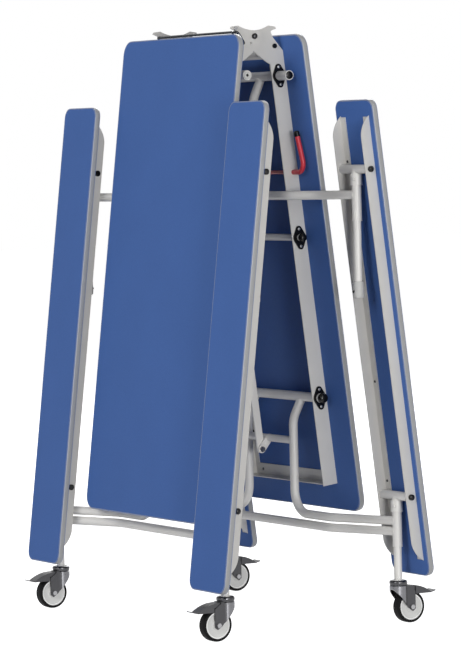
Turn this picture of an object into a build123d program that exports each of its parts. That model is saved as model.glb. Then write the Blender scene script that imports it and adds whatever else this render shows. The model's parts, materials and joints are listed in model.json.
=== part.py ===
"""Folding cafeteria table with four benches, modelled in its folded, upright position.

Millimetres, +Z up. The origin is on the floor, midway between the two halves.
The table has two equal halves. Half b stands at +X, and half a is the same
assembly turned half a circle about the vertical axis. Each half is laid out in
"station" and "height": the station runs along the half from the main hinge
towards its outer end, and the height runs through the table top, as they lie
when the table is open. Two tilted planes carry that layout into the folded pose.
"""

from build123d import *
from math import cos, radians, sin
import os

os.makedirs("parts", exist_ok=True)

# ---------------------------------------------------------------- driving dimensions
# Folding
fold_lean = 7.0              # lean of a folded half away from the vertical, degrees
hinge_drop = 120.0           # main hinge axis below the table's upper face
table_height = 742.0         # floor to table top, open
seat_height = 437.0          # floor to seat, open

# Table tops
table_width = 737.0
half_length = 1520.0
centre_gap = 18.0            # between the two tops, open
top_thickness = 19.0
table_corner = 45.0          # corner radius of a top
edge_band = 3.0              # thickness of the plastic edge band
edge_chamfer = 1.4

# Rails under the top
rail_spacing = 494.0         # over the two webs
rail_depth = 52.0
rail_flange = 25.0
rail_wall = 3.0
rail_end_inset = 86.0        # outer end of a top to the end of its rails
end_rail_depth = 38.0        # both legs of the end angle

# Hinge plates
plate_thickness = 6.0
plate_gap = 0.3              # running gap between the plates of the two halves
plate_end = 94.0             # station where a hinge plate ends on its rail
tongue_length = 40.0         # lap of the flush plate behind its rail

# Leg linkage
upper_pivot_station = 134.0
bench_reach = 97.0           # pivot tube to bench pivot, along the table
pivot_tube = 30.0            # outer diameters of the tubes
leg_tube = 28.0
post_tube = 30.0
slide_tube = 25.0
shaft_tube = 22.0
spreader_tube_size = 24.0
tube_wall = 2.0
running_clearance = 0.05     # radial, shafts in their bearings
joint_gap = 0.3              # side gap between parts that turn on each other

pivot_stub = 64.0            # upper pivot tube past the rail, bumper end
pivot_long_stub = 112.0      # the same tube past the other rail
lower_stub = 24.0            # lower pivot tube past each rail
leg_root = 142.0             # pivot tube centre to the welded root of a leg
leg_shift = 58.0             # sideways set of both legs, so that the halves nest
leg_shift_drop = 75.0
leg_bend = 62.0              # centreline bend radii
foot_bend = 75.0
arm_bend = 110.0
arm_below_bench = 79.0       # bench pivot down to the outriggers
arm_corner = 300.0           # where the outriggers turn out to the posts
brace_below_bench = 112.0    # bench pivot down to the lower cross brace
spreader_drop = 144.0

# Flange bearings
bearing_width = 45.0
bearing_tip = 10.0
bearing_thickness = 5.0
bearing_sleeve = 2.5
bearing_bolt_spacing = 55.0
bearing_bolt = 3.0           # radius

# Middle shaft, its crank and the lift link
crank_back = 29.0            # crank pin from the shaft, towards the main hinge
crank_drop = 180.0
crank_side = 66.0            # side of the table where the crank stands
link_width = 25.0
bar_thickness = 6.0
link_pin = 6.0               # radius
pin_head = 9.0
pin_head_height = 5.0

# Posts, feet
collar_size = 38.0
collar_start = 14.0          # below the bench pivot, clear of the seat's underside
collar_length = 36.0
post_length = 160.0          # bench pivot down to the end of a post
slide_overlap = 100.0        # slide leg inside its post
slide_clearance = 0.1
slide_top_gap = 1.0          # slide leg to the blind end of its post
foot_size = 30.0
foot_height = 52.0
foot_bevel = 3.0             # height of the eased edges of a foot
foot_draft = 1.0             # how much its ends are narrower than its middle
foot_sole = 4.0              # narrowing of its sole
foot_socket = 34.0
foot_floor_gap = 1.0         # hanging feet clear the floor by this when open

# Benches
bench_width = 214.0
bench_length = 1495.0
bench_centre = 535.0         # table centre line to bench centre line
bench_start = 18.0           # station of the bench's inner end, open
bench_caster_gap = 28.0      # outer end of a folded bench above the caster's crown
bench_corner = 32.0
bench_rail_inset = 25.0
bench_rail_margin = 50.0     # seat end to rail end
bench_rail_depth = 36.0
bench_rail_flange = 30.0
bench_rail_taper = 60.0      # length of the boat-shaped rail ends
bench_rail_bulge = 0.62      # fullness of their curve
bench_pin = 6.0              # radius
bench_bolt_head = 9.5
bench_bolt_height = 6.0
bench_plug_length = 14.0

# Main hinge
hinge_bolt = 6.0             # radius
hinge_bolt_head = 9.0
hinge_bolt_height = 5.0
plate_bolt = (39.5, 72.0)    # station and height of the tail bolt
plate_bolt_radius = 7.5
plate_bolt_head = 5.0
plate_hole = (23.4, 10.2)
plate_hole_radius = 3.5
horn_pin = (-16.0, 70.0)
horn_pin_radius = 6.0
horn_pin_height = 5.0
tie_tube = 25.0              # tube welded between the two plates of a half
tie_tube_seat = (64.5, 33.5)

# Outline of a hinge plate, station and height
plate_shoulder = 57.0        # where its back leaves the top's underside
back_foot = (13.0, 71.0)     # low end of its back, beside the notch
horn_tip = (-13.0, 86.0)
horn_tip_width = (-7.0, -2.0)
horn_root = (-26.0, 61.0)
boss_back = (-18.5, 2.5)
boss_corner = (-22.5, -18.0)
boss_low = (16.0, -22.0)
throat = (44.0, -6.0)
belly = (66.0, 15.0)

# Locking bail on half a
bail_rod = 8.0
bail_pivot = (29.0, 42.0)    # station and height
bail_bar = (-4.5, 70.5)
notch_gap = 1.0              # bail to the notch under each horn
notch_turn = (-60.0, -120.0, 180.0)   # start, middle and end of its round floor, degrees
bail_side_gap = 0.5          # bail arm to hinge plate
bail_outer_gap = 12.0        # outer arm to the near hinge plate
bail_bend = 4.4              # centreline radius of its bends
bail_outer_bend = 9.0

# Release handle on half b
release_station = 441.0
release_height = 17.0        # rod axis below the underside
release_rod = 12.0
release_tail = 6.0           # rod past the far rail
grip_size = 16.0
grip_length = 112.0
grip_out = 71.0              # rail face to the corner of the grip
grip_lean = 21.0             # the grip's end stands this much nearer to the rail
grip_bend = 32.0
grip_cap = 18.0              # diameter and length of its end cap
cap_ease = 3.0

# Casters
wheel_diameter = 100.0
wheel_width = 32.0
tyre_depth = 9.0
tyre_round = 5.0
hub_flange = 3.0             # depth of the dish in each face of a hub
hub_inset = 1.0              # hub face behind the tyre's side
hub_rim = 4.0
hub_boss = 17.0              # radius
caster_trail = 37.0
axle_radius = 5.0
axle_nut = 8.0
axle_nut_height = 5.0
wheel_side_gap = 2.0
cheek_thickness = 3.0
cheek_half = 12.5            # axle to the rear edge of a cheek
cheek_foot = 13.5            # axle down to the point of a cheek
cheek_bevel = 6.0            # axle down to where the rear edge turns in
cheek_tip = 3.0              # point of a cheek behind the axle, and its front corner below it
crown_radius = 28.0
crown_top = 120.0
crown_thickness = 5.0
crown_skirt = 10.0           # depth of the crown at its front
crown_ease = 2.5
cheek_shoulder = 20.0        # crown down to the cheek's rear corner
race_radius = 27.0
race_height = 14.0
race_groove = 1.5            # depth and height of the groove round the race
kingpin_radius = 6.0
kingpin_head = 9.5
kingpin_head_height = 3.0
stem_cap = 15.0
stem_cap_height = 4.0
pedal_skin = 3.0             # thickness of the pedal's walls
pedal_pivot_x = 24.0
pedal_pivot_drop = 11.0      # below the fork's crown
pedal_reach = 108.0          # stem to the end of the pedal's side walls
pedal_end_height = 93.0
pedal_floor = 90.0           # level of the lower edge of its side walls
pedal_crest = 1.5            # top of the pedal below the fork's top
pedal_bow = 7.0              # rise of its curved back over the chord
pedal_lip = 17.0             # length and rise of the lip at its end
pedal_lip_rise = 5.0
pedal_pin = 4.0              # radius

# ---------------------------------------------------------------- derived layout
lean = radians(fold_lean)
along = Vector(sin(lean), 0, -cos(lean))      # outwards along an opened half
through = Vector(cos(lean), 0, sin(lean))     # upwards through an opened half
side_normal = Vector(0, -1, 0)

underside = hinge_drop - top_thickness
pivot_height = underside - rail_depth / 2     # pivot line above the main hinge
pivot_floor = table_height - top_thickness - rail_depth / 2
bench_pivot_floor = seat_height - top_thickness - bench_rail_depth / 2
bench_drop = pivot_floor - bench_pivot_floor
arm_drop = bench_drop + arm_below_bench       # pivot tube down to the outriggers
brace_drop = bench_drop + brace_below_bench

# The benches end just above the casters, and their pivots set the pivots of the legs
bench_overhang = (bench_pivot_floor - crown_top - bench_caster_gap) / cos(lean)
bench_pivot_station = bench_length - bench_overhang
lower_pivot_station = bench_pivot_station + bench_start - bench_reach
pivot_span = lower_pivot_station - upper_pivot_station
shaft_station = upper_pivot_station + pivot_span / 2
rail_end = centre_gap / 2 + half_length - rail_end_inset
hinge_z = pivot_floor + lower_pivot_station * cos(lean) - pivot_height * sin(lean)
rail_y = rail_spacing / 2
rail_free_edge = underside - rail_depth


def half_point(station, height, side=0.0):
    """A place on half b, given along and through the opened half."""
    return Vector(0, side, hinge_z) + along * station + through * height


upper_pivot = half_point(upper_pivot_station, pivot_height)
lower_pivot = half_point(lower_pivot_station, pivot_height)
middle_shaft = half_point(shaft_station, pivot_height)
bench_pivot = lower_pivot + Vector(bench_reach, 0, -bench_drop)


def top_plane(height):
    """Plane parallel to the table top of half b; x is the station and y the side."""
    return Plane(origin=half_point(0, height), x_dir=along, z_dir=through)


def side_plane(side, origin=None):
    """Upright plane along half b; x is the station and y the height. It faces -Y."""
    base = origin or half_point(0, 0)
    return Plane(origin=(base.X, side, base.Z), x_dir=along, z_dir=side_normal)


def bench_plane(height):
    """Plane parallel to the seats of half b; x runs out from the benches' inner end."""
    start = bench_pivot - along * bench_pivot_station
    return Plane(origin=start + through * height, x_dir=along, z_dir=through)


def cross_axis(pivot, side):
    """Plane across the table at a pivot, for round parts that run along Y."""
    return Plane(origin=(pivot.X, side, pivot.Z), x_dir=(1, 0, 0), z_dir=(0, 1, 0))


def upright(pivot, side=0.0):
    """Level plane through a pivot."""
    return Plane(origin=(pivot.X, side, pivot.Z), x_dir=(1, 0, 0), z_dir=(0, 0, 1))


def keep(piece, name):
    """Label one finished piece and write it."""
    piece.part.label = name
    export_step(piece.part, f"parts/{name}.step")


def keep_both(piece, name):
    """Write the piece of half b, and the same piece turned round for half a."""
    for half, turn in (("b", 0), ("a", 180)):
        with BuildPart() as placed:
            add(piece.part.rotate(Axis.Z, turn))
        keep(placed, f"{name}_{half}")


# ---------------------------------------------------------------- table tops
top_middle = centre_gap / 2 + half_length / 2

with BuildPart() as table_top:
    with BuildSketch(top_plane(underside)):
        with Locations((top_middle, 0)):
            RectangleRounded(
                half_length - 2 * edge_band, table_width - 2 * edge_band, table_corner - edge_band
            )
    extrude(amount=top_thickness)
keep_both(table_top, "table_top")


def edge_ring(plane, middle, length, width, corner):
    """Edge band round a board, with its outer corners eased."""
    with BuildPart() as ring:
        with BuildSketch(plane):
            with Locations((middle, 0)):
                RectangleRounded(length, width, corner)
                RectangleRounded(
                    length - 2 * edge_band,
                    width - 2 * edge_band,
                    corner - edge_band,
                    mode=Mode.SUBTRACT,
                )
        extrude(amount=top_thickness)
        rims = [face.outer_wire().edges() for face in faces().filter_by(plane)]
        chamfer([edge for rim in rims for edge in rim], edge_chamfer)
    return ring


table_edge = edge_ring(top_plane(underside), top_middle, half_length, table_width, table_corner)
keep_both(table_edge, "table_edge")

# ---------------------------------------------------------------- rails under a table top
sleeve_radius = pivot_tube / 2 + running_clearance + bearing_sleeve
shaft_sleeve_radius = shaft_tube / 2 + running_clearance + bearing_sleeve
bearing_seats = (
    (upper_pivot_station, sleeve_radius, pivot_tube / 2),
    (shaft_station, shaft_sleeve_radius, shaft_tube / 2),
    (lower_pivot_station, sleeve_radius, pivot_tube / 2),
)
lap_start = plate_end - tongue_length          # a lapped rail starts under its plate

with BuildPart() as table_rails:
    for face_y, start in ((-rail_y + rail_wall, plate_end), (rail_y, lap_start)):
        with BuildSketch(side_plane(face_y)):
            with Locations(((start + rail_end) / 2, underside - rail_depth / 2)):
                Rectangle(rail_end - start, rail_depth)
            for station, seat, _ in bearing_seats:
                with Locations((station, pivot_height)):
                    Circle(seat, mode=Mode.SUBTRACT)
            with Locations((release_station, underside - release_height)):
                Circle(release_rod / 2 + running_clearance, mode=Mode.SUBTRACT)
        extrude(amount=rail_wall)
    flange_middle = rail_y - rail_wall - (rail_flange - rail_wall) / 2
    with BuildSketch(top_plane(underside - rail_wall)):
        for face_y, start in ((-flange_middle, plate_end), (flange_middle, lap_start)):
            with Locations(((start + rail_end) / 2, face_y)):
                Rectangle(rail_end - start, rail_flange - rail_wall)
    extrude(amount=rail_wall)
    end_rail_span = rail_spacing - 2 * rail_wall
    with BuildSketch(top_plane(underside - rail_wall)):
        with Locations((rail_end - end_rail_depth / 2, 0)):
            Rectangle(end_rail_depth, end_rail_span)
    extrude(amount=rail_wall)
    with BuildSketch(top_plane(underside - end_rail_depth)):
        with Locations((rail_end - rail_wall / 2, 0)):
            Rectangle(rail_wall, end_rail_span)
    extrude(amount=end_rail_depth)
keep_both(table_rails, "table_rails")


# ---------------------------------------------------------------- hinge plates
def round_bar_point(angle):
    """A place on the rounded floor of the notch, at an angle round the bail's bar."""
    reach = bail_rod / 2 + notch_gap
    return (bail_bar[0] + reach * cos(radians(angle)), bail_bar[1] + reach * sin(radians(angle)))


def hinge_plate_outline(holes):
    """Horned plate: its boss turns on the main hinge, its tail lies on the rail."""
    horn_end = (horn_tip[0] + horn_tip_width[0], horn_tip[1] + horn_tip_width[1])
    notch = [round_bar_point(angle) for angle in notch_turn]
    with BuildSketch() as outline:
        with BuildLine():
            Polyline(
                (plate_end, rail_free_edge),
                (plate_end, underside),
                (plate_shoulder, underside),
                back_foot,
                notch[0],
            )
            ThreePointArc(*notch)
            Polyline(notch[-1], horn_tip, horn_end, horn_root)
            ThreePointArc(horn_root, boss_back, boss_corner)
            ThreePointArc(boss_corner, boss_low, throat)
            ThreePointArc(throat, belly, (plate_end, rail_free_edge))
        make_face()
        Circle(hinge_bolt + running_clearance, mode=Mode.SUBTRACT)
        for place, radius in holes:
            with Locations(place):
                Circle(radius, mode=Mode.SUBTRACT)
    return outline.sketch


plate_outer = rail_y + plate_gap                # inner face of a lapped plate
tongue_depth = rail_depth - rail_wall
tongue_middle = (plate_end + tongue_length / 2, rail_free_edge + tongue_depth / 2)


def hinge_plate_pair(holes):
    """Flush plate and lapped plate of one half, with the tube that ties them."""
    with BuildPart() as plates:
        with BuildSketch(side_plane(-rail_y + plate_thickness)):
            add(hinge_plate_outline(holes))
            with Locations(tongue_middle):
                Rectangle(tongue_length, tongue_depth)
        extrude(amount=plate_thickness)
        with BuildSketch(side_plane(-rail_y + rail_wall)):
            with Locations(tongue_middle):
                Rectangle(tongue_length, rail_depth)
        extrude(amount=rail_wall, mode=Mode.SUBTRACT)
        with BuildSketch(side_plane(0)):
            with Locations((upper_pivot_station, pivot_height)):
                Circle(sleeve_radius + running_clearance)
        extrude(amount=rail_y, mode=Mode.SUBTRACT)
        with BuildSketch(side_plane(-rail_y)):
            with Locations(plate_bolt):
                Circle(plate_bolt_radius)
        extrude(amount=plate_bolt_head)
        with BuildSketch(side_plane(plate_outer + plate_thickness)):
            add(hinge_plate_outline([*holes, (plate_hole, plate_hole_radius)]))
        extrude(amount=plate_thickness)
        with BuildSketch(side_plane(plate_outer + plate_thickness)):
            with Locations(plate_bolt):
                Circle(plate_bolt_radius)
            with Locations(horn_pin):
                Circle(horn_pin_radius)
        extrude(amount=-horn_pin_height)
        with BuildSketch(side_plane(plate_outer)):
            with Locations(tie_tube_seat):
                Circle(tie_tube / 2)
                Circle(tie_tube / 2 - tube_wall, mode=Mode.SUBTRACT)
        extrude(amount=plate_outer + rail_y - plate_thickness)
    return plates


bail_hole = (bail_pivot, bail_rod / 2 + running_clearance)
keep(hinge_plate_pair([]), "hinge_plates_b")
with BuildPart() as bail_side_plates:
    add(hinge_plate_pair([bail_hole]).part.rotate(Axis.Z, 180))
keep(bail_side_plates, "hinge_plates_a")

# ---------------------------------------------------------------- flange bearings
with BuildPart() as bearings:
    for side in (-1, 1):
        outer = side * (rail_y + (bearing_thickness if side > 0 else 0))
        inner = side * rail_y + (rail_wall if side < 0 else 0)
        for station, seat, shaft in bearing_seats:
            with BuildSketch(side_plane(outer)) as flange:
                with Locations((station, pivot_height)):
                    Circle(bearing_width / 2)
                    with GridLocations(bearing_bolt_spacing, 0, 2, 1):
                        Circle(bearing_tip)
                make_hull()
                with Locations((station, pivot_height)):
                    with GridLocations(bearing_bolt_spacing, 0, 2, 1):
                        Circle(bearing_bolt, mode=Mode.SUBTRACT)
            extrude(amount=bearing_thickness)
            with BuildSketch(side_plane(inner)):
                with Locations((station, pivot_height)):
                    Circle(seat)
            extrude(amount=rail_wall)
    for station, seat, shaft in bearing_seats:
        with BuildSketch(side_plane(0)):
            with Locations((station, pivot_height)):
                Circle(shaft + running_clearance)
        extrude(amount=rail_spacing, both=True, mode=Mode.SUBTRACT)
keep_both(bearings, "bearings")

# ---------------------------------------------------------------- leg frames
post_offset = Vector(bench_reach, 0, -bench_drop)


def pipe(path, diameter, wall=tube_wall):
    """Round tube swept along a path, starting square to it."""
    start = Plane(origin=path @ 0, z_dir=path % 0)
    with BuildPart() as tube:
        with BuildSketch(start):
            Circle(diameter / 2)
            Circle(diameter / 2 - wall, mode=Mode.SUBTRACT)
        sweep(path=path)
    return tube.part


def rod_y(pivot, low, high, diameter, wall=None):
    """Round bar or tube along Y between two sides."""
    with BuildPart() as bar:
        with BuildSketch(cross_axis(pivot, low)):
            Circle(diameter / 2)
            if wall:
                Circle(diameter / 2 - wall, mode=Mode.SUBTRACT)
        extrude(amount=high - low)
    return bar.part


def leg_spreader(pivot):
    """Short tube between the two legs, its ends coped into their walls."""
    axis = pivot - Vector(0, 0, spreader_drop)
    reach = leg_root - leg_tube / 4
    with BuildPart() as spreader:
        add(rod_y(axis, leg_shift - reach, leg_shift + reach, spreader_tube_size, tube_wall))
        for side in (-1, 1):
            with BuildSketch(upright(axis, side * leg_root + leg_shift).offset(-leg_tube)):
                Circle((leg_tube - tube_wall) / 2)
            extrude(amount=2 * leg_tube, mode=Mode.SUBTRACT)
    return spreader.part


def leg_frame(pivot, low, high, braced):
    """Pivot tube with two bent legs, their outriggers and the two bench posts.

    The legs are set sideways from their roots, so that the frames of the two
    halves pass each other when the table is folded.
    """
    bench = pivot + post_offset
    inner_web = bench_centre - bench_width / 2 + bench_rail_inset + rail_wall
    outer_web = bench_centre + bench_width / 2 - bench_rail_inset - rail_wall
    with BuildPart() as frame:
        for side in (-1, 1):
            leg_y = side * leg_root + leg_shift
            corner = (pivot.X, side * arm_corner, pivot.Z - arm_drop)
            with BuildLine(mode=Mode.PRIVATE) as leg:
                FilletPolyline(
                    (pivot.X, side * leg_root, pivot.Z),
                    (pivot.X, leg_y, pivot.Z - leg_shift_drop),
                    (pivot.X, leg_y, pivot.Z - arm_drop),
                    corner,
                    (bench.X, side * bench_centre, pivot.Z - arm_drop),
                    radius=(leg_bend, foot_bend, arm_bend),
                )
            add(pipe(leg.line, leg_tube))
            if braced:
                with BuildLine(mode=Mode.PRIVATE) as arm:
                    FilletPolyline(
                        (pivot.X, 0, pivot.Z - brace_drop),
                        (pivot.X, side * arm_corner, pivot.Z - brace_drop),
                        (bench.X, side * bench_centre, pivot.Z - brace_drop),
                        radius=arm_bend,
                    )
                add(pipe(arm.line, leg_tube))
        add(rod_y(pivot, low, high, pivot_tube - tube_wall), mode=Mode.SUBTRACT)
        add(rod_y(pivot, low, high, pivot_tube, tube_wall))
        add(leg_spreader(pivot))
        for side in (-1, 1):
            low_y, high_y = sorted((side * (inner_web + joint_gap), side * (outer_web - joint_gap)))
            with BuildSketch(upright(bench, side * bench_centre).offset(-post_length)):
                Circle(post_tube / 2)
            extrude(amount=post_length)
            with BuildSketch(upright(bench, side * bench_centre).offset(-collar_start)):
                Circle(collar_size / 2)
            extrude(amount=-collar_length)
            with BuildSketch(upright(bench, side * bench_centre).offset(-post_length)):
                Circle(slide_tube / 2 + slide_clearance)
            extrude(amount=slide_overlap, mode=Mode.SUBTRACT)
            add(rod_y(bench, low_y, high_y, leg_tube))
            for end_y, inward in ((low_y, 1), (high_y, -1)):
                with BuildSketch(cross_axis(bench, end_y)):
                    Circle(leg_tube / 2 - tube_wall)
                extrude(amount=inward * bench_plug_length, mode=Mode.SUBTRACT)
    return frame


upper_frame = leg_frame(upper_pivot, -rail_y - pivot_stub, rail_y + pivot_long_stub, False)
keep_both(upper_frame, "upper_frame")

lower_frame_bare = leg_frame(lower_pivot, -rail_y - lower_stub, rail_y + lower_stub, True)

# Bracket and pin that carry the lift link on the lower frame
link_foot = lower_pivot + Vector(-crank_back, 0, -crank_drop)
crank_pin = middle_shaft + Vector(-crank_back, 0, -crank_drop)
link_side = crank_side + bar_thickness + joint_gap


def strap(start, end, side, width, hole=0.0, start_hole=0.0):
    """Flat bar with round ends between two pivots, in an upright plane."""
    with BuildPart() as bar:
        plane = Plane(origin=(start.X, side, start.Z), x_dir=(1, 0, 0), z_dir=(0, -1, 0))
        run = (end.X - start.X, end.Z - start.Z)
        with BuildSketch(plane):
            Circle(width / 2)
            with Locations(run):
                Circle(width / 2)
            make_hull()
            if hole:
                with Locations(run):
                    Circle(hole, mode=Mode.SUBTRACT)
            if start_hole:
                Circle(start_hole, mode=Mode.SUBTRACT)
        extrude(amount=-bar_thickness)
    return bar.part


def link_pin_part(pivot):
    """Riveted pin through a bar and the link, with a head on its far side."""
    tip = link_side + bar_thickness + joint_gap
    with BuildPart() as pin:
        add(rod_y(pivot, crank_side, tip, 2 * link_pin))
        add(rod_y(pivot, tip, tip + pin_head_height, 2 * pin_head))
        add(rod_y(pivot, crank_side - pin_head_height, crank_side, 2 * pin_head))
    return pin.part


spreader_axis = lower_pivot - Vector(0, 0, spreader_drop)
with BuildPart() as lower_frame:
    add(lower_frame_bare.part)
    add(strap(spreader_axis, link_foot, crank_side, link_width))
    add(
        rod_y(
            spreader_axis,
            crank_side - tube_wall,
            crank_side + bar_thickness + tube_wall,
            spreader_tube_size - 2 * tube_wall,
        ),
        mode=Mode.SUBTRACT,
    )
    add(link_pin_part(link_foot))
keep_both(lower_frame, "lower_frame")

with BuildPart() as crank_shaft:
    add(strap(middle_shaft, crank_pin, crank_side, link_width))
    shaft_end = rail_y + lower_stub
    add(rod_y(middle_shaft, -shaft_end, shaft_end, shaft_tube - tube_wall), mode=Mode.SUBTRACT)
    add(rod_y(middle_shaft, -shaft_end, shaft_end, shaft_tube, tube_wall))
    add(link_pin_part(crank_pin))
keep_both(crank_shaft, "crank_shaft")

with BuildPart() as lift_link:
    link_bore = link_pin + running_clearance
    add(strap(link_foot, crank_pin, link_side, link_width, link_bore, link_bore))
keep_both(lift_link, "lift_link")

# ---------------------------------------------------------------- slide legs and feet
foot_bottom = upper_pivot.Z - pivot_floor + foot_floor_gap


def slide_leg_top(bench):
    """Level where a slide leg ends inside its post."""
    return bench.Z - post_length + slide_overlap - slide_top_gap


upper_bench = upper_pivot + post_offset
with BuildPart() as upper_slide_legs:
    leg_bottom = foot_bottom + foot_height - foot_socket
    for side in (-1, 1):
        with BuildSketch(Plane((upper_bench.X, side * bench_centre, leg_bottom))):
            Circle(slide_tube / 2)
            Circle(slide_tube / 2 - tube_wall, mode=Mode.SUBTRACT)
        extrude(amount=slide_leg_top(upper_bench) - leg_bottom)
keep_both(upper_slide_legs, "upper_slide_legs")

with BuildPart() as glide_feet:
    for side in (-1, 1):
        foot_base = (upper_bench.X, side * bench_centre, foot_bottom)
        with BuildSketch(Plane(foot_base, x_dir=(1, 0, 0), z_dir=side_normal)):
            with BuildLine():
                Polyline(
                    (0, 0),
                    (foot_size / 2 - foot_sole, 0),
                    (foot_size / 2 - foot_draft, foot_bevel),
                    (foot_size / 2, foot_height - foot_bevel),
                    (foot_size / 2 - foot_draft, foot_height),
                    (slide_tube / 2, foot_height),
                    (slide_tube / 2, foot_height - foot_socket),
                    (0, foot_height - foot_socket),
                    close=True,
                )
            make_face()
        revolve(axis=Axis((upper_bench.X, side * bench_centre, 0), (0, 0, 1)))
keep_both(glide_feet, "glide_feet")

# The caster stems slide in the lower posts and carry the fixed half of the swivel
race_bottom = crown_top + joint_gap
race_top = race_bottom + race_height
race_middle = race_bottom + race_height / 2 - race_groove
cap_top = race_top + stem_cap_height
kingpin_bottom = crown_top - crown_thickness - joint_gap - kingpin_head_height
stem_top = slide_leg_top(bench_pivot)
stem_bore_start = cap_top + stem_cap_height

with BuildPart() as caster_stems:
    for side in (-1, 1):
        stem_base = (bench_pivot.X, side * bench_centre, 0)
        with BuildSketch(Plane(stem_base, x_dir=(1, 0, 0), z_dir=side_normal)):
            with BuildLine():
                Polyline(
                    (0, kingpin_bottom),
                    (kingpin_head, kingpin_bottom),
                    (kingpin_head, kingpin_bottom + kingpin_head_height),
                    (kingpin_radius, kingpin_bottom + kingpin_head_height),
                    (kingpin_radius, race_bottom),
                    (race_radius, race_bottom),
                    (race_radius, race_middle),
                    (race_radius - race_groove, race_middle),
                    (race_radius - race_groove, race_middle + race_groove),
                    (race_radius, race_middle + race_groove),
                    (race_radius, race_top - crown_ease),
                    (race_radius - crown_ease, race_top),
                    (stem_cap, race_top),
                    (slide_tube / 2, cap_top),
                    (slide_tube / 2, stem_top),
                    (slide_tube / 2 - tube_wall, stem_top),
                    (slide_tube / 2 - tube_wall, stem_bore_start),
                    (0, stem_bore_start),
                    close=True,
                )
            make_face()
        revolve(axis=Axis((bench_pivot.X, side * bench_centre, 0), (0, 0, 1)))
keep_both(caster_stems, "caster_stems")


# ---------------------------------------------------------------- bench pivot bolts
def bench_bolts(pivot):
    """Shoulder bolts on which the bench rails turn, each with its plug in the tube end."""
    bench = pivot + post_offset
    web_faces = (
        bench_centre - bench_width / 2 + bench_rail_inset,
        bench_centre + bench_width / 2 - bench_rail_inset,
    )
    with BuildPart() as bolts:
        for side in (-1, 1):
            for web, outward in zip(web_faces, (-1, 1)):
                inner = web - outward * (rail_wall + joint_gap)
                outer = web + outward * joint_gap
                stops = (
                    (inner - outward * bench_plug_length, inner, leg_tube - 2 * tube_wall),
                    (inner, outer, 2 * bench_pin),
                    (outer, outer + outward * bench_bolt_height, 2 * bench_bolt_head),
                )
                for start, end, size in stops:
                    low_y, high_y = sorted((side * start, side * end))
                    add(rod_y(bench, low_y, high_y, size))
    return bolts


keep_both(bench_bolts(upper_pivot), "upper_bench_bolts")
keep_both(bench_bolts(lower_pivot), "lower_bench_bolts")

# ---------------------------------------------------------------- benches
seat_underside = bench_rail_depth / 2
upper_bench_station = bench_pivot_station - pivot_span
bench_sides = (("left", -1), ("right", 1))


def seat_board(side):
    """Laminate board of a bench, inside its edge band."""
    with BuildPart() as seat:
        with BuildSketch(bench_plane(seat_underside)):
            with Locations((bench_length / 2, side * bench_centre)):
                RectangleRounded(
                    bench_length - 2 * edge_band, bench_width - 2 * edge_band, bench_corner - edge_band
                )
        extrude(amount=top_thickness)
    return seat


def bench_rail_pair(side):
    """Two angle rails with boat-shaped ends, flanges turned towards each other."""
    start = bench_rail_margin
    end = bench_length - bench_rail_margin
    low = -bench_rail_depth / 2
    high = bench_rail_depth / 2
    bulge = bench_rail_bulge
    with BuildPart() as rails:
        for web_side in (-1, 1):
            face = side * bench_centre + web_side * (bench_width / 2 - bench_rail_inset)
            sketch_y = face + (rail_wall if web_side < 0 else 0)
            first = bench_plane(0)
            plane = Plane(
                origin=(first.origin.X, sketch_y, first.origin.Z), x_dir=along, z_dir=side_normal
            )
            with BuildSketch(plane):
                with BuildLine():
                    Line((start, high), (end, high))
                    ThreePointArc(
                        (end, high),
                        (end - bench_rail_taper * (1 - bulge), high - bench_rail_depth * bulge),
                        (end - bench_rail_taper, low),
                    )
                    Line((end - bench_rail_taper, low), (start + bench_rail_taper, low))
                    ThreePointArc(
                        (start + bench_rail_taper, low),
                        (start + bench_rail_taper * (1 - bulge), high - bench_rail_depth * bulge),
                        (start, high),
                    )
                make_face()
                with Locations((upper_bench_station, 0), (bench_pivot_station, 0)):
                    Circle(bench_pin + running_clearance, mode=Mode.SUBTRACT)
            extrude(amount=rail_wall)
            flange_y = face - web_side * (bench_rail_flange / 2)
            with BuildSketch(bench_plane(seat_underside - rail_wall)):
                with Locations((bench_length / 2, flange_y)):
                    Rectangle(end - start - 2 * rail_wall, bench_rail_flange)
            extrude(amount=rail_wall)
    return rails


for side_name, side in bench_sides:
    keep_both(seat_board(side), f"bench_seat_{side_name}")
    edge_plane = bench_plane(seat_underside)
    edge_plane.origin = edge_plane.origin + Vector(0, side * bench_centre, 0)
    ring = edge_ring(edge_plane, bench_length / 2, bench_length, bench_width, bench_corner)
    keep_both(ring, f"bench_edge_{side_name}")
    keep_both(bench_rail_pair(side), f"bench_rails_{side_name}")

# ---------------------------------------------------------------- main hinge, on half a
hinge_axis = half_point(0, 0)
bolt_inner = rail_y - plate_thickness - joint_gap
bolt_outer = plate_outer + plate_thickness + joint_gap

with BuildPart() as main_hinge_bolts:
    for side in (-1, 1):
        low_y, high_y = sorted((side * bolt_inner, side * bolt_outer))
        add(rod_y(hinge_axis, low_y, high_y, 2 * hinge_bolt))
        for start, end in ((bolt_outer, bolt_outer + hinge_bolt_height),
                           (bolt_inner - hinge_bolt_height, bolt_inner)):
            low_y, high_y = sorted((side * start, side * end))
            add(rod_y(hinge_axis, low_y, high_y, 2 * hinge_bolt_head))
keep(main_hinge_bolts, "main_hinge_bolts")


def turned_point(place, side=0.0):
    """A place on half a, from its station, its height and its side there."""
    point = half_point(*place)
    return Vector(-point.X, side, point.Z)


# Locking bail. Its bar lies in line with the notches under the horns of half a,
# inside the plates of half b, and a second arm stands outside the near plate.
plate_near = -plate_outer - plate_thickness
inner_arm = -rail_y + plate_thickness + bail_side_gap + bail_rod / 2
outer_arm = plate_near - bail_outer_gap - bail_rod / 2
far_arm = rail_y - plate_thickness - bail_side_gap - bail_rod / 2
pin_axis = turned_point(bail_pivot)
bar_axis = turned_point(bail_bar)


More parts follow.
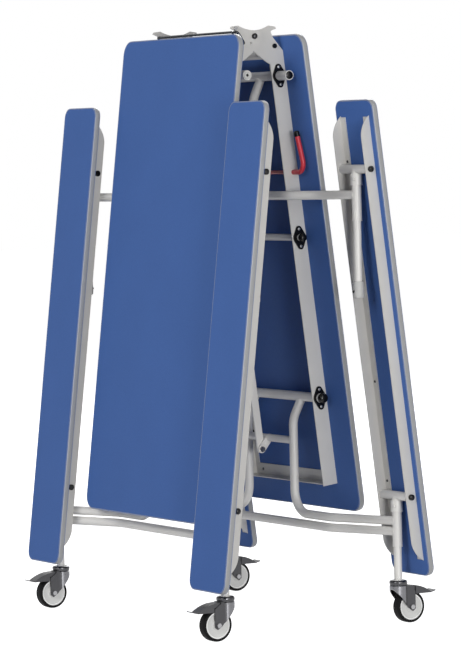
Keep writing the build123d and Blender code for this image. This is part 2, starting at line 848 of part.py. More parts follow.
def bent_rod(points, bend):
    """Round rod with equal bends through the given points."""
    with BuildLine(mode=Mode.PRIVATE) as path:
        FilletPolyline(*points, radius=bend)
    with BuildPart() as rod:
        with BuildSketch(Plane(origin=path.line @ 0, z_dir=path.line % 0)):
            Circle(bail_rod / 2)
        sweep(path=path.line)
    return rod.part


def at_side(axis, side):
    """The same axis at another side."""
    return (axis.X, side, axis.Z)


with BuildPart() as locking_bail:
    add(
        bent_rod(
            (
                at_side(pin_axis, plate_near),
                at_side(pin_axis, inner_arm),
                at_side(bar_axis, inner_arm),
                at_side(bar_axis, far_arm),
                at_side(pin_axis, far_arm),
                at_side(pin_axis, rail_y),
            ),
            bail_bend,
        )
    )
    add(
        bent_rod(
            (
                at_side(pin_axis, -plate_outer),
                at_side(pin_axis, outer_arm),
                at_side(bar_axis, outer_arm),
                at_side(bar_axis, -plate_outer),
            ),
            bail_outer_bend,
        )
    )
keep(locking_bail, "locking_bail")

# ---------------------------------------------------------------- release handle, on half b
release_axis = half_point(release_station, underside - release_height)
grip_y = rail_y + grip_out
with BuildPart() as release_handle:
    grip_root = -rail_y - joint_gap
    add(rod_y(release_axis, grip_root, rail_y + release_tail, release_rod))
    grip_end = release_axis - along * grip_length + Vector(0, grip_lean - grip_y, 0)
    with BuildLine(mode=Mode.PRIVATE) as grip_path:
        FilletPolyline(
            (release_axis.X, grip_root, release_axis.Z),
            (release_axis.X, -grip_y, release_axis.Z),
            grip_end,
            radius=grip_bend,
        )
    with BuildSketch(Plane(origin=grip_path.line @ 0, z_dir=grip_path.line % 0)):
        Circle(grip_size / 2)
    sweep(path=grip_path.line)
    with BuildSketch(Plane(origin=grip_path.line @ 1, z_dir=grip_path.line % 1)):
        Circle(grip_cap / 2)
    extrude(amount=grip_cap)
    chamfer(edges().filter_by(GeomType.CIRCLE).sort_by(Axis.Z)[-1], cap_ease)
keep(release_handle, "release_handle")

# ---------------------------------------------------------------- casters
wheel_radius = wheel_diameter / 2
hub_radius = wheel_radius - tyre_depth
hub_half = wheel_width / 2 - hub_inset
pocket_half = wheel_width / 2 + wheel_side_gap
fork_half = pocket_half + cheek_thickness


def caster(side):
    """Swivel caster under one post of half b: fork, hub, tyre and brake pedal."""
    foot = Vector(bench_pivot.X, side * bench_centre, 0)
    axle = foot + Vector(caster_trail, 0, wheel_radius)
    face = Plane(origin=foot, x_dir=(1, 0, 0), z_dir=(0, -1, 0))

    cheek_rear = caster_trail + cheek_half
    with BuildPart() as fork:
        with BuildSketch(face):
            with BuildLine():
                Polyline(
                    (-crown_radius, crown_top),
                    (crown_radius, crown_top),
                    (crown_radius, crown_top - crown_thickness),
                    (cheek_rear, crown_top - cheek_shoulder),
                    (cheek_rear, wheel_radius - cheek_bevel),
                    (caster_trail + cheek_tip, wheel_radius - cheek_foot),
                    (caster_trail - cheek_half, wheel_radius - cheek_tip),
                    (-crown_radius, crown_top - crown_skirt),
                    close=True,
                )
            make_face()
        extrude(amount=crown_radius, both=True)
        with BuildSketch(Plane(foot)):
            Circle(crown_radius)
            with Locations((cheek_rear / 2, 0)):
                Rectangle(cheek_rear, 2 * fork_half)
        extrude(amount=crown_top, mode=Mode.INTERSECT)
        chamfer(faces().sort_by(Axis.Z)[-1].edges().filter_by(GeomType.CIRCLE), crown_ease)
        with BuildSketch(Plane(foot)):
            Circle(crown_radius - cheek_thickness)
            with Locations((cheek_rear / 2, 0)):
                Rectangle(2 * cheek_rear, 2 * pocket_half)
            with Locations((-cheek_rear / 2, 0)):
                Rectangle(cheek_rear, 2 * crown_radius, mode=Mode.SUBTRACT)
            Circle(crown_radius - cheek_thickness)
        extrude(amount=crown_top - crown_thickness, mode=Mode.SUBTRACT)
        with BuildSketch(Plane(foot).offset(crown_top - crown_thickness)):
            Circle(kingpin_radius + running_clearance)
        extrude(amount=crown_thickness, mode=Mode.SUBTRACT)
        with BuildSketch(face):
            with Locations((pedal_pivot_x, crown_top - pedal_pivot_drop)):
                Circle(pedal_pin + running_clearance)
        extrude(amount=fork_half, both=True, mode=Mode.SUBTRACT)
        add(rod_y(axle, axle.Y - fork_half, axle.Y + fork_half, 2 * axle_radius))
        for start in (axle.Y - fork_half - axle_nut_height, axle.Y + fork_half):
            with BuildSketch(cross_axis(axle, start)):
                RegularPolygon(axle_nut, 6)
            extrude(amount=axle_nut_height)

    with BuildPart() as hub:
        with BuildSketch(cross_axis(axle, axle.Y)):
            Circle(hub_radius)
            Circle(axle_radius + running_clearance, mode=Mode.SUBTRACT)
        extrude(amount=hub_half, both=True)
        for face_y in (1, -1):
            with BuildSketch(cross_axis(axle, axle.Y + face_y * hub_half)):
                Circle(hub_radius - hub_rim)
                Circle(hub_boss, mode=Mode.SUBTRACT)
            extrude(amount=-face_y * hub_flange, mode=Mode.SUBTRACT)

    with BuildPart() as tyre:
        with BuildSketch(cross_axis(axle, axle.Y)):
            Circle(wheel_radius)
            Circle(hub_radius, mode=Mode.SUBTRACT)
        extrude(amount=wheel_width / 2, both=True)
        rims = edges().filter_by(GeomType.CIRCLE).sort_by(SortBy.RADIUS)[-2:]
        fillet(rims, tyre_round)

    pedal_pivot = foot + Vector(pedal_pivot_x, 0, crown_top - pedal_pivot_drop)
    pedal_boss = pedal_pivot_drop - crown_thickness - joint_gap
    boss_floor = pedal_pivot.Z - pedal_boss
    boss_top = pedal_pivot.Z + pedal_boss
    crest = (crown_radius + wheel_side_gap, crown_top - pedal_crest)
    wall_start = cheek_rear + wheel_side_gap
    back_end = (pedal_reach, pedal_end_height)
    back_bow = ((crest[0] + back_end[0]) / 2, (crest[1] + back_end[1]) / 2 + pedal_bow)
    arm_half = pocket_half - joint_gap
    with BuildPart() as pedal:
        with BuildSketch(face):
            with BuildLine():
                ThreePointArc(crest, back_bow, back_end)
                Polyline(
                    back_end,
                    (back_end[0] + pedal_lip, back_end[1] + pedal_lip_rise),
                    (back_end[0] + pedal_lip, back_end[1] + pedal_lip_rise - pedal_skin),
                    (back_end[0], pedal_floor),
                    (wall_start, pedal_floor),
                    (wall_start, boss_floor),
                    (pedal_pivot_x, boss_floor),
                )
                ThreePointArc(
                    (pedal_pivot_x, boss_floor),
                    (pedal_pivot_x - pedal_boss, pedal_pivot.Z),
                    (pedal_pivot_x, boss_top),
                )
                Polyline((pedal_pivot_x, boss_top), (crest[0], boss_top), crest)
            make_face()
        extrude(amount=fork_half, both=True)
        for arm_side in (-1, 1):
            with BuildSketch(Plane(foot)):
                with Locations((wall_start / 2, arm_side * (arm_half + fork_half) / 2)):
                    Rectangle(wall_start, fork_half - arm_half)
            extrude(amount=crown_top, mode=Mode.SUBTRACT)
        with BuildSketch(face):
            with BuildLine():
                ThreePointArc(
                    (crest[0] + pedal_skin, crest[1] - pedal_skin),
                    (back_bow[0], back_bow[1] - pedal_skin),
                    (back_end[0] - pedal_skin, back_end[1] - pedal_skin),
                )
                Polyline(
                    (back_end[0] - pedal_skin, back_end[1] - pedal_skin),
                    (back_end[0] - pedal_skin, 0),
                    (crest[0] + pedal_skin, 0),
                    (crest[0] + pedal_skin, crest[1] - pedal_skin),
                )
            make_face()
        extrude(amount=arm_half - joint_gap, both=True, mode=Mode.SUBTRACT)
        add(rod_y(pedal_pivot, foot.Y - fork_half, foot.Y + fork_half, 2 * pedal_pin))
    return fork, hub, tyre, pedal


for side_name, side in bench_sides:
    names = ("caster_fork", "wheel_hub", "tyre", "brake_pedal")
    for piece, name in zip(caster(side), names):
        keep_both(piece, f"{name}_{side_name}")
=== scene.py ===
"""Looks of the folding cafeteria table: its finishes, edge bands, hardware and studio."""

import json
import math

import bmesh
import bpy
import numpy as np
from bpy.props import FloatProperty, PointerProperty, StringProperty
from mathutils import Matrix, Vector


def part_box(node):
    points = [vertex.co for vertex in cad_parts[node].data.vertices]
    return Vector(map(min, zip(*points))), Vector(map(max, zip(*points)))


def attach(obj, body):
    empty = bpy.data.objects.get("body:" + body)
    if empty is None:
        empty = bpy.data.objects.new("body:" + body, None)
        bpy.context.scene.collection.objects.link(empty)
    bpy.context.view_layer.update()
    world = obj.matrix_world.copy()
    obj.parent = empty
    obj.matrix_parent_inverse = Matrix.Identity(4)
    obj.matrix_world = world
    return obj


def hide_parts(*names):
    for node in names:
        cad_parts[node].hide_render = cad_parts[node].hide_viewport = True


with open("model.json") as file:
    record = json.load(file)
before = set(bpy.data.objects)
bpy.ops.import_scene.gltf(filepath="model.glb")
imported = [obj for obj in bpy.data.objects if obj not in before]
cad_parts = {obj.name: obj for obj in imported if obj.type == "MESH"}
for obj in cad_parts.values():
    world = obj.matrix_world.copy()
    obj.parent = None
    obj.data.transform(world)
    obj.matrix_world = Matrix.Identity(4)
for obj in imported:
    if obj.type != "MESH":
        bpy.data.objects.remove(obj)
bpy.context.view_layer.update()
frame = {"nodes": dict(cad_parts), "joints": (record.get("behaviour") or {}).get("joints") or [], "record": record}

bl_info = {
    "name": "Folding Cafeteria Table",
    "version": (1, 0, 0),
    "blender": (4, 5, 0),
    "location": "View3D > Sidebar > Cafeteria",
    "description": "Dresses the packed folding table with its finishes, trim, hardware and studio",
    "category": "Object",
}

NODES = frame["nodes"]
BODY_OF = {
    node: body
    for body, members in frame["record"]["behaviour"]["bodies"].items()
    for node in members
}
HALVES = ("a", "b")
SIDES = ("left", "right")
SIGN = {"left": -1, "right": 1}
WAYS = (-1, 1)  # both ways along the side axis, as the signs in SIGN


# ---------------------------------------------------------------- sizes and colours
class CafeteriaSizes(bpy.types.PropertyGroup):
    """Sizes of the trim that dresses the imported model"""

    lean: FloatProperty(
        name="Lean", description="Lean of a folded half from the vertical",
        default=math.radians(7), subtype="ANGLE",
    )
    band_round: FloatProperty(
        name="Edge bulge", description="How far the edge band stands out at its middle",
        default=0.0034, unit="LENGTH",
    )
    face_inset: FloatProperty(
        name="Laminate inset", description="Outline of a board to the edge of its laminate",
        default=0.0012, unit="LENGTH",
    )
    screw_head: FloatProperty(
        name="Screw head", description="Diameter of the pan heads in the bearings",
        default=0.0098, unit="LENGTH",
    )
    board_screw: FloatProperty(
        name="Board screw", description="Diameter of the screw heads that hold rails to boards",
        default=0.0085, unit="LENGTH",
    )
    weld: FloatProperty(
        name="Weld bead", description="Radius of the weld beads on the frames",
        default=0.0019, unit="LENGTH",
    )
    rivet: FloatProperty(
        name="Collar rivet", description="Diameter of the domed rivets in the post collars",
        default=0.011, unit="LENGTH",
    )


class CafeteriaColours(bpy.types.PropertyGroup):
    """Colours of the table's finishes, as sRGB hex values"""

    laminate: StringProperty(name="Laminate", description="Tops and seats", default="#4769A9")
    edge: StringProperty(name="Edge band", description="Edges of the boards", default="#9B9C9E")
    enamel: StringProperty(name="Powder coat", description="Leg frames", default="#E0DEDA")
    rail: StringProperty(name="Rail coat", description="Table and bench rails", default="#C8C6C2")
    plate: StringProperty(name="Plate coat", description="Hinge plates", default="#C6C4C0")
    nylon: StringProperty(name="Nylon", description="Bearings and plugs", default="#0F0F11")
    foot: StringProperty(name="Foot", description="Glide feet and pale plugs", default="#BDBDBB")
    grip: StringProperty(name="Grip", description="Dipped release handle", default="#C03340")
    # On the forks and races this dark base stands for painted dark reflection of their bright plating.
    fork: StringProperty(
        name="Dark steel", description="Caster forks, races, pedals and board screws",
        default="#4C4C4E",
    )
    # Fronts of the forks: the same plating in a lighter colour, as a painted highlight.
    skirt: StringProperty(name="Fork front", description="Front of the forks", default="#747477")
    hub: StringProperty(name="Wheel centre", description="Centres of wheels", default="#D6D6D4")
    rim: StringProperty(name="Wheel rim", description="Rims of the centres", default="#F4F4F2")
    tread: StringProperty(name="Tread", description="Solid rubber tyres", default="#0B0B0C")
    zinc: StringProperty(name="Zinc", description="Bearing screws and nuts", default="#9A9A9C")
    # Dark base of the locking bail: painted shade and dark reflection on a shiny rod.
    bail: StringProperty(name="Drawn steel", description="Locking bail", default="#3A3C3F")
    floor: StringProperty(name="Floor paint", description="Floor of the studio", default="#E1E1E2")


class CafeteriaStage(bpy.types.PropertyGroup):
    """Camera and lamps of the studio"""

    lens: FloatProperty(
        name="Lens", description="Focal length over a 36 mm tall frame",
        default=199.516, subtype="DISTANCE_CAMERA",
    )
    key: FloatProperty(name="Key", description="Key lamp", default=580.0, unit="POWER")
    fill: FloatProperty(name="Fill", description="Fill lamp", default=290.0, unit="POWER")
    glint: FloatProperty(name="Glint", description="Low front lamp", default=400.0, unit="POWER")
    back: FloatProperty(name="Back", description="Back lamp", default=600.0, unit="POWER")
    ambient: FloatProperty(
        name="Ambient", description="Light from the white room", default=0.05,
        min=0, max=1, subtype="FACTOR",
    )
    floor: FloatProperty(
        name="Floor glow", description="How white the floor looks by itself", default=0.97,
        min=0, max=1, subtype="FACTOR",
    )


def colours():
    return bpy.context.scene.cafeteria_colours


def sizes():
    return bpy.context.scene.cafeteria_sizes


# ---------------------------------------------------------------- places on the table
# Lengths are in metres. The halves are worked out for half b and turned round for half a.
JOINT = {joint["name"]: np.array(joint["pos_m"]) for joint in frame["joints"]}
TURN = {"b": np.array((1.0, 1.0, 1.0)), "a": np.array((-1.0, -1.0, 1.0))}
SIDE_AXIS = np.array((0.0, 1.0, 0.0))
UP = np.array((0.0, 0.0, 1.0))
HINGE = np.array((0.0, 0.0, JOINT["main_hinge"][2]))
UPPER = JOINT["upper_frame_pivot_b"]
LOWER = JOINT["lower_frame_pivot_b"]
SHAFT = JOINT["crank_pivot_b"]
BENCH = JOINT["bench_pivot_right_b"] * (1, 0, 1)
POST = BENCH - LOWER  # from a frame's pivot tube to its posts
BENCH_SIDE = 0.535  # middle of the table to the middle of a bench
RAIL_SIDE = 0.247  # middle of the table to the outer face of a table rail
PIVOT_HEIGHT = 0.075  # main hinge to the frame pivots, square to the top
TOP_UNDER = 0.101  # main hinge to the underside of the top, square to it
SEAT_UNDER = 0.018  # bench pivot to the underside of the seat, square to it
TUBE_RADIUS = 0.015  # pivot tubes and posts
LEG_RADIUS = 0.014  # legs, outriggers and brace
COLLAR_RADIUS = 0.019  # collars on the posts


def along():
    """Outwards along an opened half b, as it hangs folded."""
    lean = sizes().lean
    return np.array((math.sin(lean), 0, -math.cos(lean)))


def through():
    """Upwards through the table top of an opened half b, as it hangs folded."""
    lean = sizes().lean
    return np.array((math.cos(lean), 0, math.sin(lean)))


def board_place(origin, station, height, side):
    """A place from its station along a board, its height square to it, and its side."""
    return origin + station * along() + height * through() + side * SIDE_AXIS


def millimetres(*pairs):
    """A profile from pairs of radius and height."""
    return np.array(pairs) / 1000


def off_axis(places, axis):
    """How far places are from a cross axis, seen from the side."""
    return np.hypot(places[:, 0] - axis[0], places[:, 2] - axis[2])


# ---------------------------------------------------------------- surfaces
MERGE = 1e-6  # points closer than this are one
WELD_STEPS = 56
RIPPLES = 14  # round a weld bead, about 6 mm each
RIPPLE_DEPTH = 0.16  # as a part of the bead's radius

# Angles in degrees past which an edge stays sharp under smooth shading.
SHARP_TURNED = 38
SHARP_DOMED = 60
SHARP_BAND = 50
SHARP_BOARD = 30
SHARP_PACKED = 32
SHARP_PRESSED = 26


def unit(vector):
    """The same direction at length one, for one vector or rows of them."""
    vector = np.asarray(vector, float)
    return vector / np.linalg.norm(vector, axis=-1, keepdims=True)


def circle(steps):
    """Angles at even steps round a circle."""
    return np.linspace(0, 2 * np.pi, steps, endpoint=False)


def turned(profile, centre, axis, steps=28):
    """A turned part: each (radius, height) pair of its profile sweeps one circle about the axis.

    place = centre + height * axis + radius * (cos of the angle * first + sin of it * second)
    """
    profile = np.asarray(profile, float)
    axis = unit(axis)
    first = unit(np.cross(axis, (0.31, 0.52, 0.79)))  # any direction that no axis here follows
    second = np.cross(axis, first)
    angle = circle(steps)
    ring = np.cos(angle)[:, None] * first + np.sin(angle)[:, None] * second
    return centre + profile[:, 1, None, None] * axis + profile[:, 0, None, None] * ring


def carried(path, radius, outward, steps=10):
    """A round profile carried along a closed path.

    At each place the profile's first axis is the outward direction less its part along the
    path, and the second is square to both. place = path + radius * (cos of the angle * first +
    sin of it * second), with a radius for each place of the path.
    """
    ahead = unit(np.roll(path, -1, axis=0) - np.roll(path, 1, axis=0))
    first = unit(outward - (outward * ahead).sum(axis=1, keepdims=True) * ahead)
    second = np.cross(ahead, first)
    angle = circle(steps)
    ring = np.cos(angle)[:, None] * first[:, None] + np.sin(angle)[:, None] * second[:, None]
    return path[:, None] + radius[:, None, None] * ring


def weld_bead(centre, branch, branch_radius, main, main_radius):
    """A rippled weld bead where a round branch meets a round tube.

    Its path is on the branch: centre + radius * (cos of the angle * first + sin of it *
    second) + reach * branch, with the reach at which it is one main radius from the tube's
    axis. Its own radius is the bead's * (1 + depth * sin of the angle * ripples).
    """
    branch = unit(branch)
    main = unit(main)
    first = unit(np.cross(branch, main))
    second = np.cross(branch, first)
    angle = circle(WELD_STEPS)
    spoke = np.cos(angle)[:, None] * first + np.sin(angle)[:, None] * second
    spoke = branch_radius * spoke
    across = branch - (branch @ main) * main
    spoke_across = spoke - (spoke @ main)[:, None] * main
    half = spoke_across @ across
    square = (spoke_across ** 2).sum(axis=1) - main_radius ** 2
    root = np.sqrt(np.maximum(half ** 2 - across @ across * square, 0))
    path = centre + spoke + ((root - half) / (across @ across))[:, None] * branch
    ripple = 1 + RIPPLE_DEPTH * np.sin(angle * RIPPLES)
    return carried(path, sizes().weld * ripple, spoke / branch_radius)


def grid_faces(rows, columns, closed):
    """Corner numbers of the quads of a grid whose columns, and rows if closed, join up."""
    index = np.arange(rows * columns).reshape(rows, columns)
    near = index if closed else index[:-1]
    far = np.roll(index, -1, axis=0) if closed else index[1:]
    return np.stack(
        (near, np.roll(near, -1, axis=1), np.roll(far, -1, axis=1), far), axis=-1
    ).reshape(-1, 4)


def smooth(mesh, sharp):
    """Smooth shading that breaks at edges sharper than an angle in degrees."""
    mesh.shade_smooth()
    mesh.set_sharp_from_angle(angle=math.radians(sharp))


def tidy_mesh(mesh, recalculate):
    """Merge doubles, and where asked close open ends and turn the faces outwards."""
    work = bmesh.new()
    work.from_mesh(mesh)
    bmesh.ops.remove_doubles(work, verts=work.verts, dist=MERGE)
    if recalculate:
        rims = [edge for edge in work.edges if edge.is_boundary]
        if rims:
            bmesh.ops.holes_fill(work, edges=rims, sides=0)
        bmesh.ops.recalc_face_normals(work, faces=work.faces)
    work.to_mesh(mesh)
    work.free()


def cut_mesh(mesh, place, normal):
    """Part the faces of a mesh along a plane, so that two finishes can meet there."""
    work = bmesh.new()
    work.from_mesh(mesh)
    bmesh.ops.bisect_plane(work, geom=[*work.verts, *work.edges, *work.faces], dist=MERGE,
                           plane_co=place, plane_no=normal)
    work.to_mesh(mesh)
    work.free()


def place_piece(name, mesh, keys, body):
    """Put a finished mesh on the body that it moves with."""
    for key in keys:
        mesh.materials.append(finish(key))
    piece = bpy.data.objects.new(name, mesh)
    bpy.context.scene.collection.objects.link(piece)
    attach(piece, body)
    return piece


def build_piece(name, points, faces, key, body, sharp):
    """One piece of one finish from its points and faces."""
    mesh = bpy.data.meshes.new(name)
    mesh.from_pydata(points, [], faces)
    tidy_mesh(mesh, True)
    smooth(mesh, sharp)
    return place_piece(name, mesh, [key], body)


def make_piece(name, half, grids, key, body, closed=False, sharp=SHARP_TURNED):
    """One piece of one finish from the grids of half b, turned round for half a."""
    points = []
    faces = []
    start = 0
    for grid in grids:
        points.append((grid * TURN[half]).reshape(-1, 3))
        faces.append(grid_faces(*grid.shape[:2], closed) + start)
        start += len(points[-1])
    points = np.concatenate(points)
    faces = np.concatenate(faces).tolist()
    return build_piece(name, points, faces, key, body, sharp)


def smooth_copy(node, keys, choose=None, sharp=SHARP_PACKED, cut=None):
    """A merged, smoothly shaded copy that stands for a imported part.

    The choose function takes the face middles as rows and gives each face's finish by number.
    """
    mesh = NODES[node].data.copy()
    mesh.name = f"{node}_smooth"
    mesh.materials.clear()
    tidy_mesh(mesh, False)
    if cut:
        cut_mesh(mesh, *cut)
    if "custom_normal" in mesh.attributes:
        mesh.attributes.remove(mesh.attributes["custom_normal"])
    smooth(mesh, sharp)
    numbers = np.zeros(len(mesh.polygons), np.int32)
    if choose:
        middles = np.empty(len(numbers) * 3)
        mesh.polygons.foreach_get("center", middles)
        numbers[:] = choose(middles.reshape(-1, 3))
    mesh.polygons.foreach_set("material_index", numbers)
    piece = place_piece(f"{node}_finished", mesh, keys, BODY_OF[node])
    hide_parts(node)
    return piece


# ---------------------------------------------------------------- materials
# Noise cells to a metre, from the real size of each pattern. The fine ones are drawn coarser
# than they are, so that they show.
SUEDE = 330.0  # laminate grain of 1 mm, drawn at 3 mm
CLOUD = 5.0  # clouds in the laminate, 200 mm
PEEL = 240.0  # orange peel of a baked coat, 4 mm
DRIFT = 9.0  # slow drift of a baked coat, 110 mm
SPARK = 420.0  # spark-eroded grain of 0.2 mm, drawn at 2.4 mm
DRAWN = 300.0  # extruded grain of 0.5 mm, drawn at 3.3 mm
DIPPED = 150.0  # waves of dipped vinyl, 6.7 mm
ROLLED = 160.0  # rolling marks, 6 mm
DUSTY = 120.0  # patches of dust, 8 mm

# Numbers of a Mix node's inputs and output when it mixes colours.
MIX_FACTOR, MIX_FROM, MIX_TO = 0, 6, 7
MIXED = 2


def linear(code):
    """An sRGB hex value as linear red, green, blue and alpha."""
    channels = np.array([int(code[i:i + 2], 16) for i in (1, 3, 5)]) / 255
    low = channels / 12.92
    high = ((channels + 0.055) / 1.055) ** 2.4
    return (*np.where(channels <= 0.04045, low, high).tolist(), 1.0)


WHITE = linear("#FFFFFF")


def shade(code, factor):
    """The same colour, lighter or darker by a factor on its linear value."""
    *channels, alpha = linear(code)
    return (*(min(channel * factor, 1) for channel in channels), alpha)


def add_node(tree, kind, inputs=None, **settings):
    """Add a shader node; each input takes a value or the socket that feeds it."""
    node = tree.nodes.new(kind)
    for key, value in settings.items():
        setattr(node, key, value)
    for name, value in (inputs or {}).items():
        if isinstance(value, bpy.types.NodeSocket):
            tree.links.new(value, node.inputs[name])
        else:
            node.inputs[name].default_value = value
    return node


def new_material(name, code):
    """An empty material, with its colour for the solid view."""
    material = bpy.data.materials.new(name)
    material.use_nodes = True
    material.node_tree.nodes.clear()
    material.diffuse_color = linear(code)
    return material


def start(name, code, scale, detail, low, high):
    """A new material whose colour drifts over a noise between two factors of itself.

    It comes with the sockets of the object's coordinates, of the noise and of the colour.
    """
    material = new_material(name, code)
    tree = material.node_tree
    place = add_node(tree, "ShaderNodeTexCoord").outputs["Object"]
    noise = add_node(tree, "ShaderNodeTexNoise", {
        "Vector": place, "Scale": scale, "Detail": detail}).outputs["Fac"]
    tint = add_node(tree, "ShaderNodeMix", {
        MIX_FACTOR: noise, MIX_FROM: shade(code, low), MIX_TO: shade(code, high)},
        data_type="RGBA")
    return material, place, noise, tint.outputs[MIXED]


def cover(material, sockets, relief=None, strength=0.0, depth=0.0):
    """Close a material with its surface, and with a relief where there is one."""
    tree = material.node_tree
    if relief is not None:
        bump = add_node(tree, "ShaderNodeBump", {
            "Height": relief, "Strength": strength, "Distance": depth})
        sockets["Normal"] = bump.outputs["Normal"]
    surface = add_node(tree, "ShaderNodeBsdfPrincipled", sockets)
    add_node(tree, "ShaderNodeOutputMaterial", {"Surface": surface.outputs[0]})
    return material


def laminate(name, code):
    """High-pressure laminate: a suede-textured melamine sheet, so the gloss is broad and low,
    with a fine grain and with clouds a hand wide."""
    material, place, _, tint = start(name, code, CLOUD, 2.0, 0.95, 1.06)
    tree = material.node_tree
    grain = add_node(tree, "ShaderNodeTexNoise", {
        "Vector": place, "Scale": SUEDE, "Detail": 3.0, "Roughness": 0.6}).outputs["Fac"]
    fleck = add_node(tree, "ShaderNodeValToRGB", {"Fac": grain})
    dark, light = fleck.color_ramp.elements
    dark.position, dark.color = 0.35, (0.9, 0.9, 0.9, 1)
    light.position, light.color = 0.65, WHITE
    colour = add_node(tree, "ShaderNodeMix", {
        MIX_FACTOR: 1.0, MIX_FROM: tint, MIX_TO: fleck.outputs["Color"]},
        data_type="RGBA", blend_type="MULTIPLY")
    return cover(material, {
        "Base Color": colour.outputs[MIXED], "Roughness": 0.55, "IOR": 1.5,
        "Specular IOR Level": 0.1}, grain, 0.12, 0.0004)


def powder_coat(name, code):
    """Polyester powder coat baked on steel: satin, with an orange-peel ripple a few mm wide."""
    material, place, _, tint = start(name, code, DRIFT, 3.0, 0.93, 1.05)
    peel = add_node(material.node_tree, "ShaderNodeTexNoise", {
        "Vector": place, "Scale": PEEL, "Detail": 2.0})
    return cover(material, {
        "Base Color": tint, "Roughness": 0.38, "IOR": 1.5, "Specular IOR Level": 0.5},
        peel.outputs["Fac"], 0.1, 0.0005)


def moulded_plastic(name, code, roughness=0.45, grain=SPARK, strength=0.1, gloss=0.4):
    """Moulded plastic: one even colour, with a gloss that the grain of its tool breaks up."""
    material, _, spark, tint = start(name, code, grain, 2.0, 0.92, 1.08)
    return cover(material, {
        "Base Color": tint, "Roughness": roughness, "IOR": 1.5, "Specular IOR Level": gloss},
        spark, strength, 0.0003)


def plated_steel(name, code, roughness):
    """Plated steel: metallic, with rolling marks that make its gloss patchy."""
    material, _, marks, tint = start(name, code, ROLLED, 4.0, 0.88, 1.1)
    gloss = add_node(material.node_tree, "ShaderNodeMapRange", {
        "Value": marks, "From Min": 0.3, "From Max": 0.7,
        "To Min": roughness - 0.06, "To Max": roughness + 0.1})
    return cover(material, {
        "Base Color": tint, "Metallic": 1.0, "Roughness": gloss.outputs["Result"]})


def rubber_tread(name, code):
    """Solid rubber: matt and nearly black, with paler patches of dust."""
    material, _, _, tint = start(name, code, DUSTY, 5.0, 0.8, 1.5)
    return cover(material, {
        "Base Color": tint, "Roughness": 0.7, "IOR": 1.52, "Specular IOR Level": 0.12})


# Each finish: the function that makes it, its material's name, its colour, and where they are
# its own its roughness, grain, relief and gloss.
MAKERS = {
    # Decor sheet of the tops and seats: one blue, hardly glossy.
    "laminate": (laminate, "blue_laminate", "laminate"),
    # Extruded edging: smoother and glossier than the boards.
    "edge": (moulded_plastic, "grey_edge_band", "edge", 0.35, DRAWN, 0.06),
    # Satin coats: the pale one of the tubes, and two greyer ones of the flat steel.
    "enamel": (powder_coat, "grey_powder_coat", "enamel"),
    "plate": (powder_coat, "hinge_plate_coat", "plate"),
    "rail": (powder_coat, "rail_coat", "rail"),
    # Smooth black nylon: small sharp highlights.
    "nylon": (moulded_plastic, "black_nylon", "nylon", 0.14, SPARK, 0.03, 0.24),
    # Pale moulded plastic: a soft gloss.
    "foot": (moulded_plastic, "pale_grey_plastic", "foot"),
    # Dulled screw heads: dark metal, hardly bright.
    "steel": (plated_steel, "dulled_screw_steel", "fork", 0.38),
    # Drawn wire: its dark colour is painted shade and dark reflection, with a sharp streak of light from the
    # lamps.
    "bail": (plated_steel, "drawn_spring_steel", "bail", 0.24),
    # Race: its dark base is painted dark reflection of bright plating, and it is sleek.
    "race": (plated_steel, "greased_race_steel", "fork", 0.24),
    # Front of a fork: the fork's plating in a lighter colour, as a painted highlight.
    "skirt": (plated_steel, "bright_fork_front", "skirt", 0.3),
    # Lip of a pedal, polished by shoes.
    "worn": (plated_steel, "worn_pedal_steel", "fork", 0.3),
    # Vinyl dip: red, with slow waves in its gloss.
    "grip": (moulded_plastic, "red_dipped_vinyl", "grip", 0.3, DIPPED, 0.05),
    # Dark steel of forks and pedals, with soft reflections; on the forks its dark base is painted dark reflection.
    "fork": (plated_steel, "dark_plated_caster", "fork", 0.34),
    # Wheel centre, matt and off-white, and its smoother white rim.
    "hub": (moulded_plastic, "off_white_wheel_centre", "hub", 0.4),
    "rim": (moulded_plastic, "white_wheel_rim", "rim", 0.3),
    # Tyres: matt black rubber.
    "tread": (rubber_tread, "black_rubber", "tread"),
    # Zinc plate of screws, pins and nuts: bright grey metal.
    "zinc": (plated_steel, "zinc_plate", "zinc", 0.28),
}

# The material of each finish, once it is made.
FINISHES = {}


def finish(key):
    """The named finish, made once."""
    if key not in FINISHES:
        maker, name, colour, *settings = MAKERS[key]
        FINISHES[key] = maker(name, getattr(colours(), colour), *settings)
    return FINISHES[key]


# ---------------------------------------------------------------- boards
# Length, width and corner radius of each board with its band.
TABLE_BOARD = (1.52, 0.737, 0.045)
BENCH_BOARD = (1.495, 0.214, 0.032)
CORNER_STEPS = 13
BOARD_HALF = 0.0095  # half the thickness of a laminated board
ARRIS = 0.0005  # eased edge of the laminate
BAND_HALF = 0.0096  # half the thickness of a band
BAND_POWER = 2.6  # power of the band's superellipse
BAND_BACK = (0.003, 0.009)  # how far a band reaches in behind its bulge, and half as high there

# Board, band, half, distance from the middle of the table, and size.
BOARDS = [("table_top", "table_edge", half, 0.0, TABLE_BOARD) for half in HALVES]
BOARDS += [
    (f"bench_seat_{side}", f"bench_edge_{side}", half, BENCH_SIDE * SIGN[side], BENCH_BOARD)
    for half in HALVES
    for side in SIDES
]


